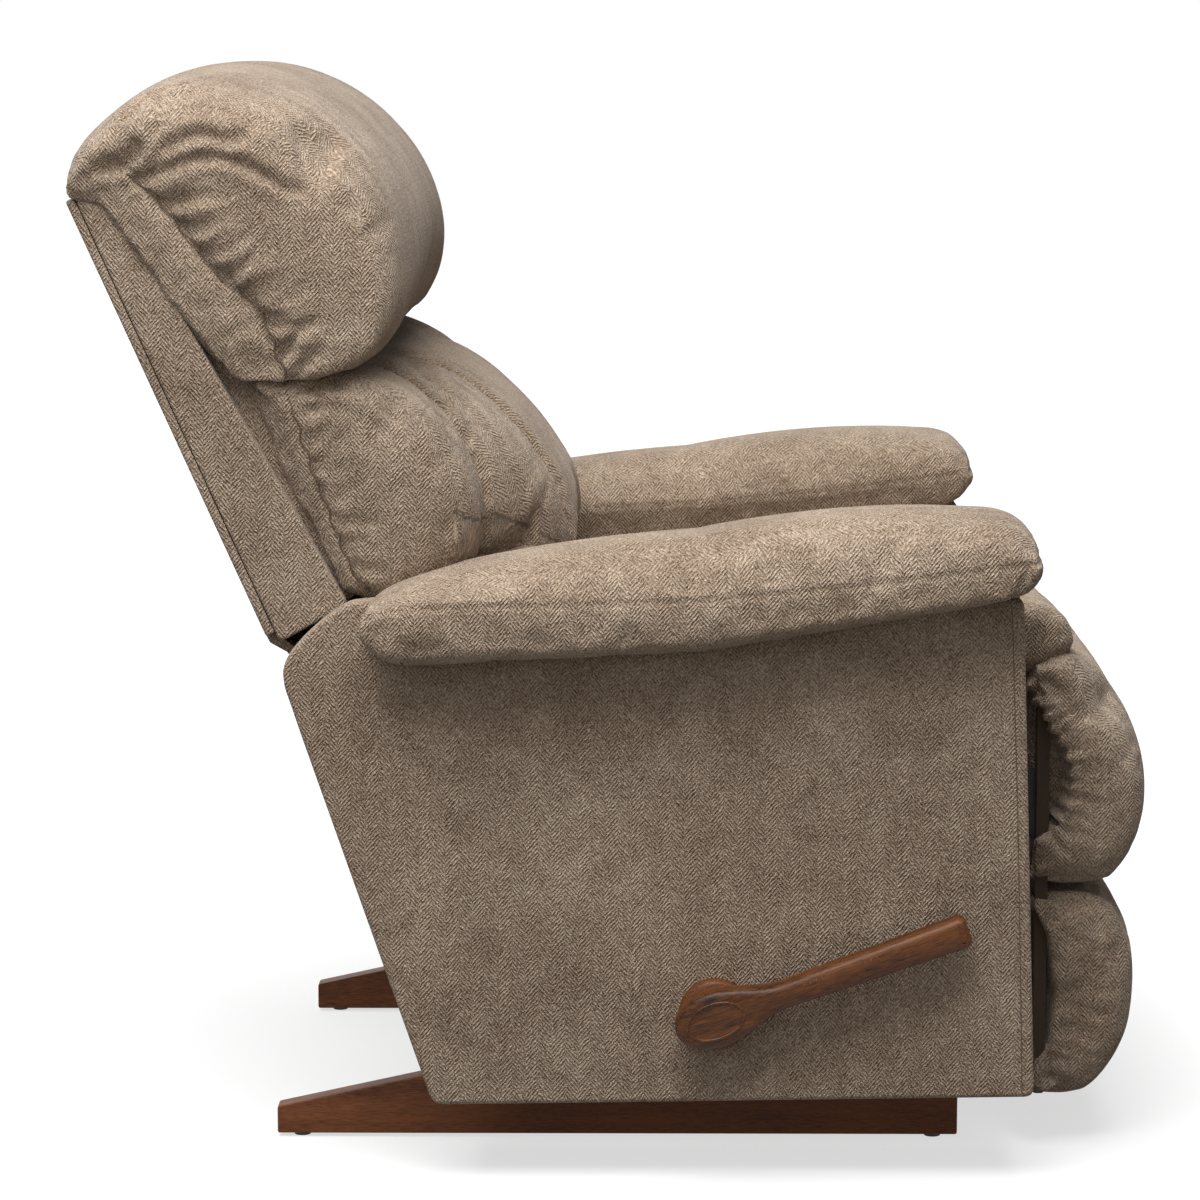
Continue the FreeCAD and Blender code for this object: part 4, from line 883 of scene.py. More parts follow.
    def pucker(self, seam: Seam, sign: int, number: int, line: list[Vector], run: np.ndarray, which: int,
               spot: Vector, way: Vector, away: float) -> float:
        """Height of the gathers at a point beside a seam.

        Args:
            seam, sign, number, line, run: the seam, its side of the piece, its place in the list, its points and
                the lengths along it.
            which, away: the nearest of its points and the distance to it, in millimetres.
            spot, way: the point and its normal.

        Returns:
            The height in millimetres.
        """
        onward = line[min(which + 1, len(line) - 1)] - line[max(which - 1, 0)]
        beside = (spot - line[which]).dot(way.cross(onward)) * sign
        share = 0.1 if seam.side and beside * seam.side < 0.0 else 1.0
        ends = min(1.0, run[which] / 40.0 + 0.1, (run[-1] - run[which]) / 40.0 + 0.25)
        along = run[which] + seam.slant * away + 5.0 * noise.noise((run[which] * 0.05, number * 7.3, away * 0.03))
        tall = 0.55 + 0.9 * abs(noise.noise((run[which] * 0.045, 3.7 * number, 0.5)))
        ridge = (0.5 + 0.5 * math.cos(2 * math.pi * along / seam.pitch)) ** 1.7
        rise = away / 4.0 if away < 4.0 else 1.0
        return seam.gather * tall * (2.0 * ridge - 0.75) * ends * share * rise * math.exp(-((away / seam.reach) ** 1.4))

    def hollow(self, piece: bpy.types.Object) -> None:
        """Pushes the dish into both ends.

        Args:
            piece: the swollen cushion.
        """
        places = vertices(piece)
        zone = self.dish.zone
        for i in np.nonzero(np.abs(places[:, 0] / MM - self.middle) > self.half_width - zone)[0]:
            share = self.dish.share(MIDDLE_FORWARD - places[i, 1] / MM, places[i, 2] / MM)
            out = (abs(places[i, 0] / MM - self.middle) - self.half_width + zone) / zone
            places[i, 0] -= math.copysign(self.dish.depth * share * min(1.0, 1.6 * out), places[i, 0]) * MM
        move_to(piece, places)

    def stitch(self, piece: bpy.types.Object, samples: Laid) -> None:
        """Lays a fine thread in each seam whose stitching shows, as faces of the second material.

        Args:
            piece: the sewn cushion.
            samples: its seams, laid on it.
        """
        build = bmesh.new()
        build.from_mesh(piece.data)
        for seam, _, line in samples:
            if not seam.thread:
                continue
            windows = (line[max(0, i - 3):i + 4] for i in range(len(line)))
            calm = [sum(window, Vector()) / len(window) for window in windows]
            add_thread(build, calm[::2], 1, THREAD)
        build.to_mesh(piece.data)
        build.free()

    def map_cloth(self, piece: bpy.types.Object) -> None:
        """Lays the weave on the piece: up and down round the form, and flat on its ends.

        Args:
            piece: the sewn cushion.
        """
        path = bowed(self.crown, self.steps)
        tree = KDTree(len(path))
        run = [0.0]
        for i, (spot, after) in enumerate(zip(path, path[1:] + path[:1])):
            tree.insert(place(0, *spot), i)
            run.append(run[-1] + math.dist(spot, after))
        tree.balance()
        tangents = [Vector((0, -(b[0] - a[0]), b[1] - a[1])).normalized() for a, b in zip(path, path[1:] + path[:1])]
        along = np.empty(len(piece.data.vertices))
        for i, spot in enumerate(vertices(piece)):
            _, which, _ = tree.find((0.0, spot[1], spot[2]))
            base = place(0, *path[which])
            along[i] = run[which] * MM + (Vector((0.0, spot[1], spot[2])) - base).dot(tangents[which])
        lay_map(piece, along)

    def make(self) -> bpy.types.Object:
        """Builds, swells, sews and maps the cushion.

        Returns:
            The cushion, which has no finish and no body yet.
        """
        piece = self.form()
        samples = self.seam_samples(piece)
        self.swell(piece, samples)
        finer = piece.modifiers.new("finer", "SUBSURF")
        finer.levels = finer.render_levels = 1
        applied(piece)
        if self.dish:
            self.hollow(piece)
        self.sew(piece, self.seam_samples(piece))
        self.map_cloth(piece)
        self.stitch(piece, self.seam_samples(piece))
        piece.data.shade_smooth()
        LOG.info("%s: %d points", self.name, len(piece.data.vertices))
        return piece


def lay_map(piece: bpy.types.Object, along: np.ndarray | None = None) -> None:
    """Gives a piece its cloth map, in metres.

    Args:
        piece: the piece.
        along: place along the weave of each point, or None for a map laid flat by each face's direction.
    """
    mesh = piece.data
    flat = mesh.uv_layers.new(name="cloth")
    places = vertices(piece)
    ways = np.abs(read_out(mesh.polygons, "normal"))
    corners, counts = read_out(mesh.loops, "vertex_index", 1), read_out(mesh.polygons, "loop_total", 1)
    side = np.repeat(ways[:, 0] > (SIDEWAYS_ROUND if along is not None else SIDEWAYS_FLAT), counts)
    up = np.repeat(ways[:, 2] > UPWARDS, counts)
    spots = places[corners]
    out = np.empty((len(corners), 2))
    out[:, 0] = spots[:, 0]
    out[:, 1] = along[corners] if along is not None else np.where(up, spots[:, 1], spots[:, 2])
    out[side, 0], out[side, 1] = spots[side, 1], spots[side, 2]
    flat.data.foreach_set("uv", out.ravel())


def rounded(outline: Outline, radius: float) -> Outline:
    """Outline with each corner cut to a short arc.

    Args:
        outline: the closed outline.
        radius: how far an arc reaches from its corner, in millimetres.

    Returns:
        The outline with its arcs.
    """
    made: Outline = []
    for before, here, after in zip(outline[-1:] + outline[:-1], outline, outline[1:] + outline[:1]):
        first, last = math.dist(before, here), math.dist(here, after)
        reach = min(radius, 0.45 * first, 0.45 * last)
        a = (here[0] + (before[0] - here[0]) * reach / first, here[1] + (before[1] - here[1]) * reach / first)
        b = (here[0] + (after[0] - here[0]) * reach / last, here[1] + (after[1] - here[1]) * reach / last)
        for step in range(CORNER_STEPS + 1):
            t = step / CORNER_STEPS
            made.append(tuple((1 - t) ** 2 * p + 2 * t * (1 - t) * q + t * t * r for p, q, r in zip(a, here, b)))
    return made


@dataclass
class Cover:
    """A board with soft edges, bare or covered in fabric, between two places across.

    Attributes:
        outline: its side outline in millimetres.
        inner, outer: places across of its two faces; the outer one is dressed.
        edge: radius of its edges. corner: radius of its outline's corners.
    """

    name: str
    outline: Outline
    inner: float
    outer: float
    edge: float = 5.0
    corner: float = 9.0

    def make(self) -> bpy.types.Object:
        """Builds the board with its rounded rim.

        Returns:
            The board, which has no finish and no body yet.
        """
        ring = rounded(self.outline, self.corner)
        way = math.copysign(1.0, self.outer - self.inner)
        sections = [(self.inner, ring)]
        for step in range(RIM_STEPS + 1):
            turn = math.radians(90.0 / RIM_STEPS * step)
            sections.append((self.outer - way * self.edge * (1.0 - math.sin(turn)),
                             shrunk(ring, self.edge * (1.0 - math.cos(turn)))))
        piece = loft(self.name, sections)
        lay_map(piece)
        smooth(piece, 38.0)
        return piece


@dataclass
class Wardrobe:
    """The finishes, made once."""

    fabric: bpy.types.Material
    walnut: bpy.types.Material
    walnut_handle: bpy.types.Material
    pine: bpy.types.Material
    steel: bpy.types.Material
    zinc: bpy.types.Material
    nylon: bpy.types.Material
    lining: bpy.types.Material
    thread: bpy.types.Material
    webbing: bpy.types.Material

    @classmethod
    def filled(cls) -> "Wardrobe":
        """Makes every finish.

        Returns:
            The finishes.
        """
        return cls(
            fabric=Chenille().material(),
            walnut=Wood("walnut", srgb(66, 35, 19), srgb(138, 84, 50), gloss=0.52, coat=0.05).material(),
            walnut_handle=Wood("walnut_handle", srgb(34, 17, 8), srgb(122, 74, 40), gloss=0.42, coat=0.08,
                               lean=20.0).material(),
            pine=Wood("frame_wood", srgb(150, 112, 72), srgb(206, 172, 126), along=0, gloss=0.62, coat=0.0).material(),
            steel=Metal("black_steel", srgb(38, 38, 40), 0.6, 0.5).material(),
            zinc=Metal("zinc_steel", srgb(176, 176, 172), 0.95, 0.38).material(),
            nylon=Plain("nylon", srgb(60, 58, 56), 0.5).material(),
            # The lining is a real dark backing cloth, and its dark tone also stands for the painted shade of the recess
            # behind the legrest's rolls.
            lining=Plain("lining", srgb(78, 63, 50), 0.9).material(),
            thread=Plain("thread", srgb(110, 93, 76), 0.85).material(),
            webbing=Plain("webbing", srgb(58, 56, 54), 0.85, rib=0.004).material(),
        )

    def of_slot(self, slot: Slot) -> bpy.types.Material:
        """The finish of a record slot."""
        return {Slot.WALNUT: self.walnut, Slot.FABRIC: self.fabric, Slot.PLAIN_WOOD: self.pine, Slot.STEEL: self.steel,
                Slot.ZINC: self.zinc, Slot.WEBBING: self.webbing, Slot.NYLON: self.nylon}[slot]


def dress(piece: bpy.types.Object, body: Body, slot: Slot, finish: bpy.types.Material, *nodes: str) -> bpy.types.Object:
    """Gives a piece its finish, puts it on its body, and hides the CAD nodes that it stands for.

    Args:
        piece: the piece.
        body: what it rides on.
        slot: not used.
        finish: its material.
        nodes: the CAD nodes that it stands for, if any.

    Returns:
        The piece.
    """
    piece.data.materials.append(finish)
    if any(face.material_index for face in piece.data.polygons):
        piece.data.materials.append(bpy.data.materials["thread"])
    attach(piece, body.value)
    if nodes:
        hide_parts(*nodes)
    LOG.info("%s rides on %s", piece.name, body.value)
    return piece


def upholster(cushion: Cushion, body: Body, finishes: Wardrobe, node: str) -> None:
    """Makes a cushion in fabric on its body, in place of its CAD node.

    Args:
        cushion: the cushion. body: what it rides on. finishes: the finishes.
    """
    piece = dress(cushion.make(), body, Slot.FABRIC, finishes.fabric, node)


def both_sides() -> tuple[tuple[str, int], ...]:
    """Side names with their signs across."""
    return (("left", 1), ("right", -1))


@dataclass
class BackRest:
    """The reclining back: headrest roll, lower cushion, and the covered box behind them."""

    headrest_edge: Bowed = table(
        (-338, 750, 0), (-284, 750, 0.03), (-238, 784, 0.08), (-244, 866, 0.08), (-306, 942, 0.08), (-419, 966, 0.05),
        (-493, 955, 0.05), (-512, 919, 0.1), (-469, 931, 0))
    headrest_crown: Bowed = table(
        (-365, 764, 0), (-270, 764, 0.04), (-204, 790, 0.12), (-184, 868, 0.09), (-238, 985, 0.1), (-356, 1049, 0.11),
        (-475, 1004, 0.05), (-518, 952, 0.1), (-490, 924, 0))
    lumbar_edge: Bowed = table(
        (-254, 555, 0), (-216, 549, 0.1), (-163, 588, 0.13), (-163, 690, 0.09), (-225, 756, 0.05), (-300, 770, 0.02),
        (-338, 764, 0.01))
    lumbar_crown: Bowed = table(
        (-246, 552, 0), (-159, 552, 0.02), (-26, 560, 0.08), (-67, 665, 0.07), (-170, 755, 0.06), (-237, 761, 0.03),
        (-364, 768, 0))
    box_outline: Outline = table(
        (-248.0, 548.0), (-470.0, 946.0), (-498.6, 930.0), (-312.5, 513.0))
    welt_outline: Outline = table(
        (-317.3, 521.6), (-499.4, 929.6), (-507.0, 926.0), (-325.4, 518.0))
    gusset_outline: Outline = table(
        (-252.0, 548.0), (-391.0, 797.0), (-376.0, 803.0), (-318.0, 782.0), (-300.0, 740.0), (-262.0, 640.0),
        (-240.0, 558.0))
    box_half_width: float = 385.0

    def headrest(self) -> Cushion:
        """The roll over the top of the back, gathered along its side seams.

        Returns:
            The cushion, which is built later.
        """
        seam = [(398, -450, 956), (399, -408, 914), (400, -381, 877), (400, -357, 853), (400, -333, 831),
                (400, -317, 799), (397, -302, 757)]
        seams = [
            Seam(seam, depth=3.2, width=3.4, gather=3.6, reach=42.0, pitch=31.0, side=-1, slant=-0.45, thread=True),
            Seam(seam[1:], depth=0.0, gather=1.0, reach=9.0, pitch=11.0, side=-1, pinned=False),
            guide((397, -472, 940), (397, -405, 845), (397, -340, 752)),
            guide((398, -508, 921), (398, -470, 932)),
            fold((388, -490, 955), (378, -447, 979), (352, -410, 1006), (320, -372, 1020), depth=5.0, width=5.5),
            fold((393, -480, 953), (385, -436, 972), (366, -400, 999), (345, -352, 1000), depth=4.0, width=5.0),
            fold((396, -470, 950), (391, -427, 966), (380, -385, 984), (362, -330, 975), depth=5.0, width=5.5),
            fold((398, -452, 942), (395, -415, 956), (390, -372, 968), (380, -322, 950), (366, -291, 913), depth=4.5),
            fold((399, -420, 918), (398, -385, 930), (394, -345, 928), depth=3.5),
            fold((398, -297, 760), (396, -283, 779), (386, -262, 798), depth=6.0, width=5.0),
            fold((399, -310, 775), (397, -292, 803), (390, -268, 824), depth=5.0, width=5.0),
            fold((380, -262, 762), (340, -232, 775), (290, -215, 786), depth=4.0, width=7.0),
        ]
        return Cushion("headrest_roll", self.headrest_edge, self.headrest_crown, 399, fullness=4.2, start=5.0,
                       grow=0.05, limit=11.0, seams=seams)

    def lumbar(self) -> Cushion:
        """The lower back cushion: two side lobes, the middle with its sewn channels, and side seams.

        Returns:
            The cushion, which is built later.
        """
        seams = [
            guide((390, -335, 746), (390, -292, 652), (390, -254, 556)),
            Seam([(392, -300, 747), (393, -291, 705), (393, -273, 649), (393, -250, 592), (390, -228, 550)],
                 depth=2.6, width=3.2, gather=1.5, reach=24.0, pitch=27.0, side=-1, slant=-0.4, thread=True),
            Seam([(262, -225, 762), (262, -180, 742), (262, -158, 690), (262, -150, 630), (262, -150, 560)],
                 depth=8.0, width=9.0, gather=1.6, reach=24.0, pitch=30.0),
            Seam([(132, -225, 764), (132, -160, 748), (132, -98, 690), (132, -64, 630), (132, -46, 565)],
                 depth=6.0, width=6.0, gather=0.8, reach=14.0, pitch=18.0),
            fold((392, -296, 748), (386, -272, 752), (372, -240, 745), depth=5.0, width=5.0),
            fold((391, -292, 730), (386, -262, 735), (376, -228, 722), depth=3.5, width=5.0),
            fold((300, -143, 560), (312, -150, 610), (330, -160, 655), depth=4.0, width=9.0),
            fold((350, -160, 690), (310, -175, 722), (280, -190, 742), depth=3.0, width=8.0),
        ]
        profile = [(0.0, 1.0), (0.2, 0.99), (0.33, 0.94), (0.44, 0.86), (0.52, 0.7), (0.58, 0.5), (0.64, 0.3),
                   (0.68, 0.2), (0.72, 0.2), (0.8, 0.22), (0.9, 0.17), (1.0, 0.0)]
        return Cushion("lower_back_cushion", self.lumbar_edge, self.lumbar_crown, 393, fullness=3.8, start=5.0,
                       grow=0.05, limit=12.0, seams=seams, profile=profile, turned=24.0)

    def tail(self) -> Cushion:
        """The cushion's narrow tail between the arms.

        Returns:
            The cushion, which is built later.
        """
        edge = [(-196, 432, 0), (-120, 432, 0.02), (-158, 566, 0.02), (-258, 580, 0)]
        crown = [(-196, 432, 0), (-48, 432, 0.02), (-50, 586, 0.02), (-262, 592, 0)]
        profile = [(0.0, 1.0), (0.6, 0.96), (0.76, 0.75), (0.86, 0.3), (0.93, 0.06), (1.0, 0.0)]
        return Cushion("lower_back_tail", edge, crown, 282, fullness=8.0, start=1.0, limit=4.0, profile=profile,
                       turned=8.0)

    def make(self, finishes: Wardrobe) -> None:
        """Builds the back and puts it on its body.

        Args:
            finishes: the finishes.
        """
        upholster(self.headrest(), Body.BACK, finishes, "headrest_cushion")
        upholster(self.lumbar(), Body.BACK, finishes, "lumbar_cushion")
        tail = self.tail()
        piece = loft(tail.name, tail.sections())
        lay_map(piece)
        piece.data.shade_smooth()
        dress(piece, Body.BACK, Slot.FABRIC, finishes.fabric, "lumbar_cushion")
        self.make_box(finishes)

    def make_box(self, finishes: Wardrobe) -> None:
        """The covered side boards with their welts and gussets, and the panel across the rear.

        Args:
            finishes: the finishes.
        """
        for name, side in both_sides():
            for part, outline in (("cover_", self.box_outline), ("welt_", self.welt_outline)):
                board = Cover("back_side_" + part + name, outline, side * (self.box_half_width - 18),
                              side * (self.box_half_width + 2.5), edge=3.0, corner=7.0 if part == "cover_" else 3.0)
                dress(board.make(), Body.BACK, Slot.FABRIC, finishes.fabric, "back_side_boards")
            gusset = Cover("back_gusset_" + name, self.gusset_outline, side * 300, side * 367, edge=4.0, corner=4.0)
            dress(gusset.make(), Body.BACK, Slot.FABRIC, finishes.fabric, "lumbar_cushion")
        rear = [(-281.0, 412.0), (-294.0, 462.0), (-306.0, 500.0), (-324.0, 510.0), (-509.0, 924.0), (-500.0, 929.0),
                (-316.0, 518.0), (-294.0, 500.0), (-286.0, 462.0), (-273.0, 414.0)]
        panel = Cover("back_cover", rear, -366, 366, edge=2.0, corner=2.0)
        dress(panel.make(), Body.BACK, Slot.FABRIC, finishes.fabric, "back_panel")


@dataclass
class Arms:
    """The arms: stuffed tops with their bands, and the covered sides under them."""

    edge: Bowed = table(
        (-192, 503, 0), (81, 517, 0), (366, 561, 0.06), (393, 600, 0.03), (326, 589, -0.01), (81, 564, 0.01),
        (-178, 556, 0.06), (-238, 546, 0.1), (-234, 520, 0.1))
    crown: Bowed = table(
        (-192, 503, 0), (81, 517, 0), (366, 561, 0.2), (404, 588, 0.25), (339, 638, 0.03), (81, 614, 0.02),
        (-159, 579, 0.04), (-231, 552, 0.1), (-238, 525, 0.15))
    side: Outline = table(
        (-170, 72), (401, 81), (384.5, 557), (371, 560), (82, 523), (-149, 512), (-200, 516), (-212, 558), (-246, 555),
        (-272, 537), (-291, 519), (-304, 503), (-308.5, 490), (-307, 474), (-301, 457), (-292, 429))
    front_stitch: Outline = table((389, 88), (382, 320), (373, 548))
    rear: Outline = table(
        (-168, 76), (-290, 430), (-297, 450), (-287, 450), (-280, 430), (-158, 76))
    inner_side: Outline = table(
        (-167, 88), (380, 88), (364, 556), (82, 519), (-149, 505), (-240, 500), (-292, 450), (-288, 430))
    front: Outline = table((398, 88), (382, 559), (366, 559), (380, 88))

    def pad(self, name: str, side: int) -> Cushion:
        """One arm top; its seams part the top from the band.

        Args:
            name: the arm's side.
            side: its sign across.

        Returns:
            The cushion, which is built later.
        """
        outer, inner = side * 463.0, side * 300.0
        seams = [
            Seam([(outer, -236, 545), (outer, -178, 556), (outer, 81, 564), (outer, 326, 589), (outer, 390, 600),
                  (side * 452, 401, 603), (side * 420, 405, 604), (side * 340, 405, 604), (side * 308, 401, 603),
                  (inner, 388, 600), (inner, 326, 589), (inner, 81, 564), (inner, -168, 556)],
                 depth=1.7, width=2.6, mirrored=False),
            guide((outer, -215, 506), (outer, -160, 505), (outer, 81, 517), (outer, 352, 560), mirrored=False),
            Seam([(side * 462, 386, 598), (side * 460, 376, 578), (side * 452, 368, 564)], depth=3.0, width=3.0,
                 mirrored=False),
        ]
        return Cushion("arm_top_" + name, self.edge, self.crown, 83.5, middle=side * 381, fullness=2.9, start=3.0,
                       grow=0.015, limit=9.0, pressure=3.0, voxel=0.006, seams=seams)

    def make(self, finishes: Wardrobe) -> None:
        """Builds both arms: the top, the covered boards under it, and the stitching of the outer side.

        Args:
            finishes: the finishes.
        """
        for name, side in both_sides():
            upholster(self.pad(name, side), Body.FRAME, finishes, "arm_pad_" + name)
            for part, outline, inner, outer, edge, corner, node in (
                    ("side_cover_", self.side, 392, 412, 5.0, 10.0, "side_panel_"),
                    ("inner_cover_", self.inner_side, 312, 298, 4.0, 10.0, "inner_panel_"),
                    ("rear_cover_", self.rear, 300, 393, 2.0, 3.0, "side_frame_"),
                    ("front_cover_", self.front, 300, 393, 2.0, 2.0, "arm_front_")):
                cover = Cover(part + name, outline, side * inner, side * outer, edge=edge, corner=corner)
                dress(cover.make(), Body.FRAME, Slot.FABRIC, finishes.fabric, node + name)
            build = bmesh.new()
            line = curve_through([place(side * 412.2, f, z) for f, z in self.front_stitch], STITCH_STEP)
            add_thread(build, line, 0, FINE_THREAD)
            dress(from_bmesh("side_stitch_" + name, build), Body.FRAME, Slot.FABRIC, finishes.thread)


@dataclass
class Seat:
    """The seat cushion."""

    edge: Bowed = table(
        (-34, 366, 0), (366, 366, 0), (366, 451, 0), (416, 460, 0.12), (448, 484, 0.2), (414, 522, 0.05),
        (171, 486, 0.01), (-34, 456, 0))
    crown: Bowed = table(
        (-34, 366, 0), (366, 366, 0), (366, 451, 0), (419, 460, 0.12), (456, 484, 0.2), (423, 529, 0.06),
        (171, 507, 0.02), (-34, 469, 0))

    def make(self, finishes: Wardrobe) -> None:
        """Builds the seat cushion on its body.

        Args:
            finishes: the finishes.
        """
        seams = [
            Seam([(272, -30, 462), (272, 171, 490), (270, 380, 516)], depth=3.0, width=4.0, gather=1.0, reach=16.0,
                 pitch=22.0),
            fold((286, 425, 482), (282, 444, 490), (262, 452, 496), depth=4.0),
            fold((286, 418, 500), (280, 438, 504), (258, 444, 508), depth=3.0),
            guide((-286, 366, 390), (0, 366, 380), (286, 366, 390), mirrored=False),
        ]
        cushion = Cushion("seat_pad", self.edge, self.crown, 286, fullness=5.0, start=7.0, grow=0.03, limit=16.0,
                          voxel=0.0075, seams=seams, turned=16.0)
        upholster(cushion, Body.SEAT, finishes, "seat_cushion")


@dataclass
class Legrest:
    """The two stuffed rolls of the legrest."""

    upper_edge: Bowed = table(
        (403, 276, 0), (403, 480, 0.02), (440, 496, 0.06), (480, 446, 0.05), (505, 392, 0.06), (506, 336, 0.08),
        (470, 272, 0.05))
    upper_crown: Bowed = table(
        (403, 256, 0), (403, 474, 0.02), (450, 490, 0.06), (488, 438, 0.04), (516, 390, 0.06), (527, 332, 0.09),
        (490, 257, 0.03))
    lower_edge: Bowed = table(
        (403, 48, 0), (403, 254, 0.01), (472, 252, 0.06), (499, 190, 0.05), (496, 112, 0.07), (462, 56, 0.06))
    lower_crown: Bowed = table(
        (403, 44, 0), (403, 252, 0.01), (482, 250, 0.08), (511, 175, 0.03), (507, 113, 0.07), (467, 50, 0.06))
    upper_dish: Outline = table(
        (390, 454), (408, 450), (417, 432), (427, 412), (439, 396), (446, 370), (442, 340), (431, 318), (419, 304),
        (406, 299), (390, 298))
    lower_dish: Outline = table(
        (390, 236), (412, 236), (426, 212), (434, 150), (430, 98), (418, 84), (390, 80))
    board: Outline = table((412, 50), (424, 50), (424, 438), (412, 438))

    def upper(self) -> Cushion:
        """The roll under the seat's edge, gathered round its ends.

        Returns:
            The cushion, which is built later.
        """
        seams = [
            Seam([(284, 406, 466), (284, 414, 442), (285, 428, 414), (286, 442, 395), (286, 449, 370), (286, 446, 338),
                  (285, 433, 314), (284, 420, 298)], depth=2.0, width=4.0, gather=5.5, reach=20.0, pitch=15.0,
                 pinned=False),
            guide((284, 404, 470), (284, 404, 456)),
            guide((284, 404, 296), (284, 404, 280)),
            fold((284, 420, 462), (284, 436, 452), (280, 452, 448), depth=3.5),
            fold((285, 446, 372), (286, 462, 376), (286, 478, 384), depth=4.0),
            fold((285, 436, 320), (286, 452, 314), (285, 466, 312), depth=3.5),
        ]
        return Cushion("legrest_upper_roll", self.upper_edge, self.upper_crown, 294, fullness=5.0, start=4.0,
                       grow=0.05, limit=11.0, voxel=0.006, seams=seams, dish=Dish(self.upper_dish), turned=27.0)

    def lower(self) -> Cushion:
        """The roll at the legrest's lower edge.

        Returns:
            The cushion, which is built later.
        """
        seams = [
            Seam([(284, 458, 252), (286, 463, 187), (284, 458, 118), (280, 444, 66)], depth=1.4, width=4.0,
                 gather=1.0, reach=18.0, pitch=21.0),
            guide((284, 404, 250), (284, 404, 238)),
            guide((284, 404, 78), (284, 404, 54)),
            fold((284, 422, 74), (282, 440, 62), (276, 458, 56), depth=4.0),
            fold((284, 424, 92), (284, 446, 86), (282, 466, 88), depth=3.0),
        ]
        return Cushion("legrest_lower_roll", self.lower_edge, self.lower_crown, 294, fullness=4.6, start=4.0,
                       grow=0.04, limit=10.0, voxel=0.006, seams=seams, dish=Dish(self.lower_dish), turned=30.0)

    def make(self, finishes: Wardrobe) -> None:
        """Builds the cover of the legrest's board, and both rolls on it.

        Args:
            finishes: the finishes.
        """
        # The board's cover takes the dark lining: a real backing cloth, darkened so that it also paints the shade of
        # the recess between the rolls.
        board = Cover("legrest_board_cover", self.board, -281.5, 281.5, edge=3.0, corner=4.0)
        dress(board.make(), Body.LEGREST, Slot.FABRIC, finishes.lining, "legrest_board")
        upholster(self.upper(), Body.LEGREST, finishes, "leg_pad_upper")
        upholster(self.lower(), Body.LEGREST, finishes, "leg_pad_lower")


@dataclass
class Handle:
    """The wooden release handle: oval hub with a bare plate, neck, and a wider tip, on a round boss."""

    pivot: tuple[float, float] = (97.5, 163.0)
    lean: float = 20.0
    inner: float = -424.3
    thick: float = 22.0
    hub_half: float = 27.0
    hub_end: float = 39.0
    neck: float = 70.0
    neck_half: float = 12.0
    tip_gain: float = 3.2
    length: float = 250.0

    def spot(self, along: float, across: float) -> tuple[float, float]:
        """Side place of a point along and across the handle.

        Args:
            along, across: how far from the pivot, in millimetres.

        Returns:
            The place forward and up, in millimetres.
        """
        turn = math.radians(self.lean)
        return (self.pivot[0] + along * math.cos(turn) - across * math.sin(turn),
                self.pivot[1] + along * math.sin(turn) + across * math.cos(turn))

    def half_width(self, along: float) -> float:
        """Half the handle's width at a place along it.

        Args:
            along: how far from the pivot, in millimetres.

        Returns:
            Half the width, in millimetres.
        """
        if along < 0.0:
            return self.hub_half * math.sqrt(max(0.0, 1.0 - (along / self.hub_end) ** 2))
        share = 0.5 + 0.5 * math.cos(math.pi * min(1.0, along / self.neck))
        widening = self.tip_gain * max(0.0, along - self.neck) / (self.length - self.neck)
        return self.neck_half + (self.hub_half - self.neck_half) * share + widening

    def lever(self) -> Cover:
        """The lever's outline as a board with large rounded edges.

        Returns:
            The board, which is built later.
        """
        steps = [0.1 * i * i - self.hub_end for i in range(12)] + [float(v) for v in range(-24, 246, 6)] + [246.0]
        steps = sorted(set(round(v, 2) for v in steps))
        low = [self.spot(v, -max(0.6, self.half_width(v))) for v in steps]
        high = [self.spot(v, max(0.6, self.half_width(v))) for v in reversed(steps)]
        tip = [self.spot(251.0, -12.5), self.spot(252.0, -10.0), self.spot(252.0, 10.0), self.spot(251.0, 12.5)]
        return Cover("release_lever", low + tip + high, self.inner, self.inner - self.thick, edge=7.5, corner=1.5)

    def ellipse(self, length: float, width: float, count: int = 56) -> Outline:
        """Oval on the hub, along the handle.

        Args:
            length, width: its axes, in millimetres.
            count: how many points it has.

        Returns:
            The oval's points.
        """
        return [self.spot(length / 2 * math.cos(2 * math.pi * i / count), width / 2 * math.sin(2 * math.pi * i / count))
                for i in range(count)]

    def disc(self, name: str, outlines: list[tuple[float, Outline]]) -> bpy.types.Object:
        """Closed turned form through outlines at places across.

        Args:
            name: what the object is called.
            outlines: each place across with its outline.

        Returns:
            The new object.
        """
        piece = loft(name, outlines)
        smooth(piece, 40.0)
        return piece

    def make(self, finishes: Wardrobe) -> None:
        """Builds the handle, its boss and its plate.

        Args:
            finishes: the finishes.
        """
        dress(self.lever().make(), Body.DRIVE, Slot.WALNUT, finishes.walnut_handle, "release_handle", "handle_screw")
        face = self.inner - self.thick
        rim = [(face + 2.5, 58.0, 36.0), (face - 0.6, 58.0, 36.0), (face - 1.2, 56.6, 34.6), (face - 1.2, 54.2, 32.2),
               (face - 0.4, 52.8, 30.8), (face - 0.2, 50.0, 28.0), (face - 0.5, 30.0, 14.0), (face - 0.6, 4.0, 2.0)]
        plate = self.disc("oval_plate", [(x, self.ellipse(a, b)) for x, a, b in rim])
        dress(plate, Body.DRIVE, Slot.WALNUT, finishes.walnut_handle, "handle_badge")
        turned = [(-410.6, 68.0), (-419.0, 68.0), (-422.5, 65.0), (-424.2, 59.0)]
        boss = self.disc("handle_boss_turned", [(x, self.ellipse(d, d)) for x, d in turned])
        dress(boss, Body.DRIVE, Slot.WALNUT, finishes.walnut_handle, "handle_boss")


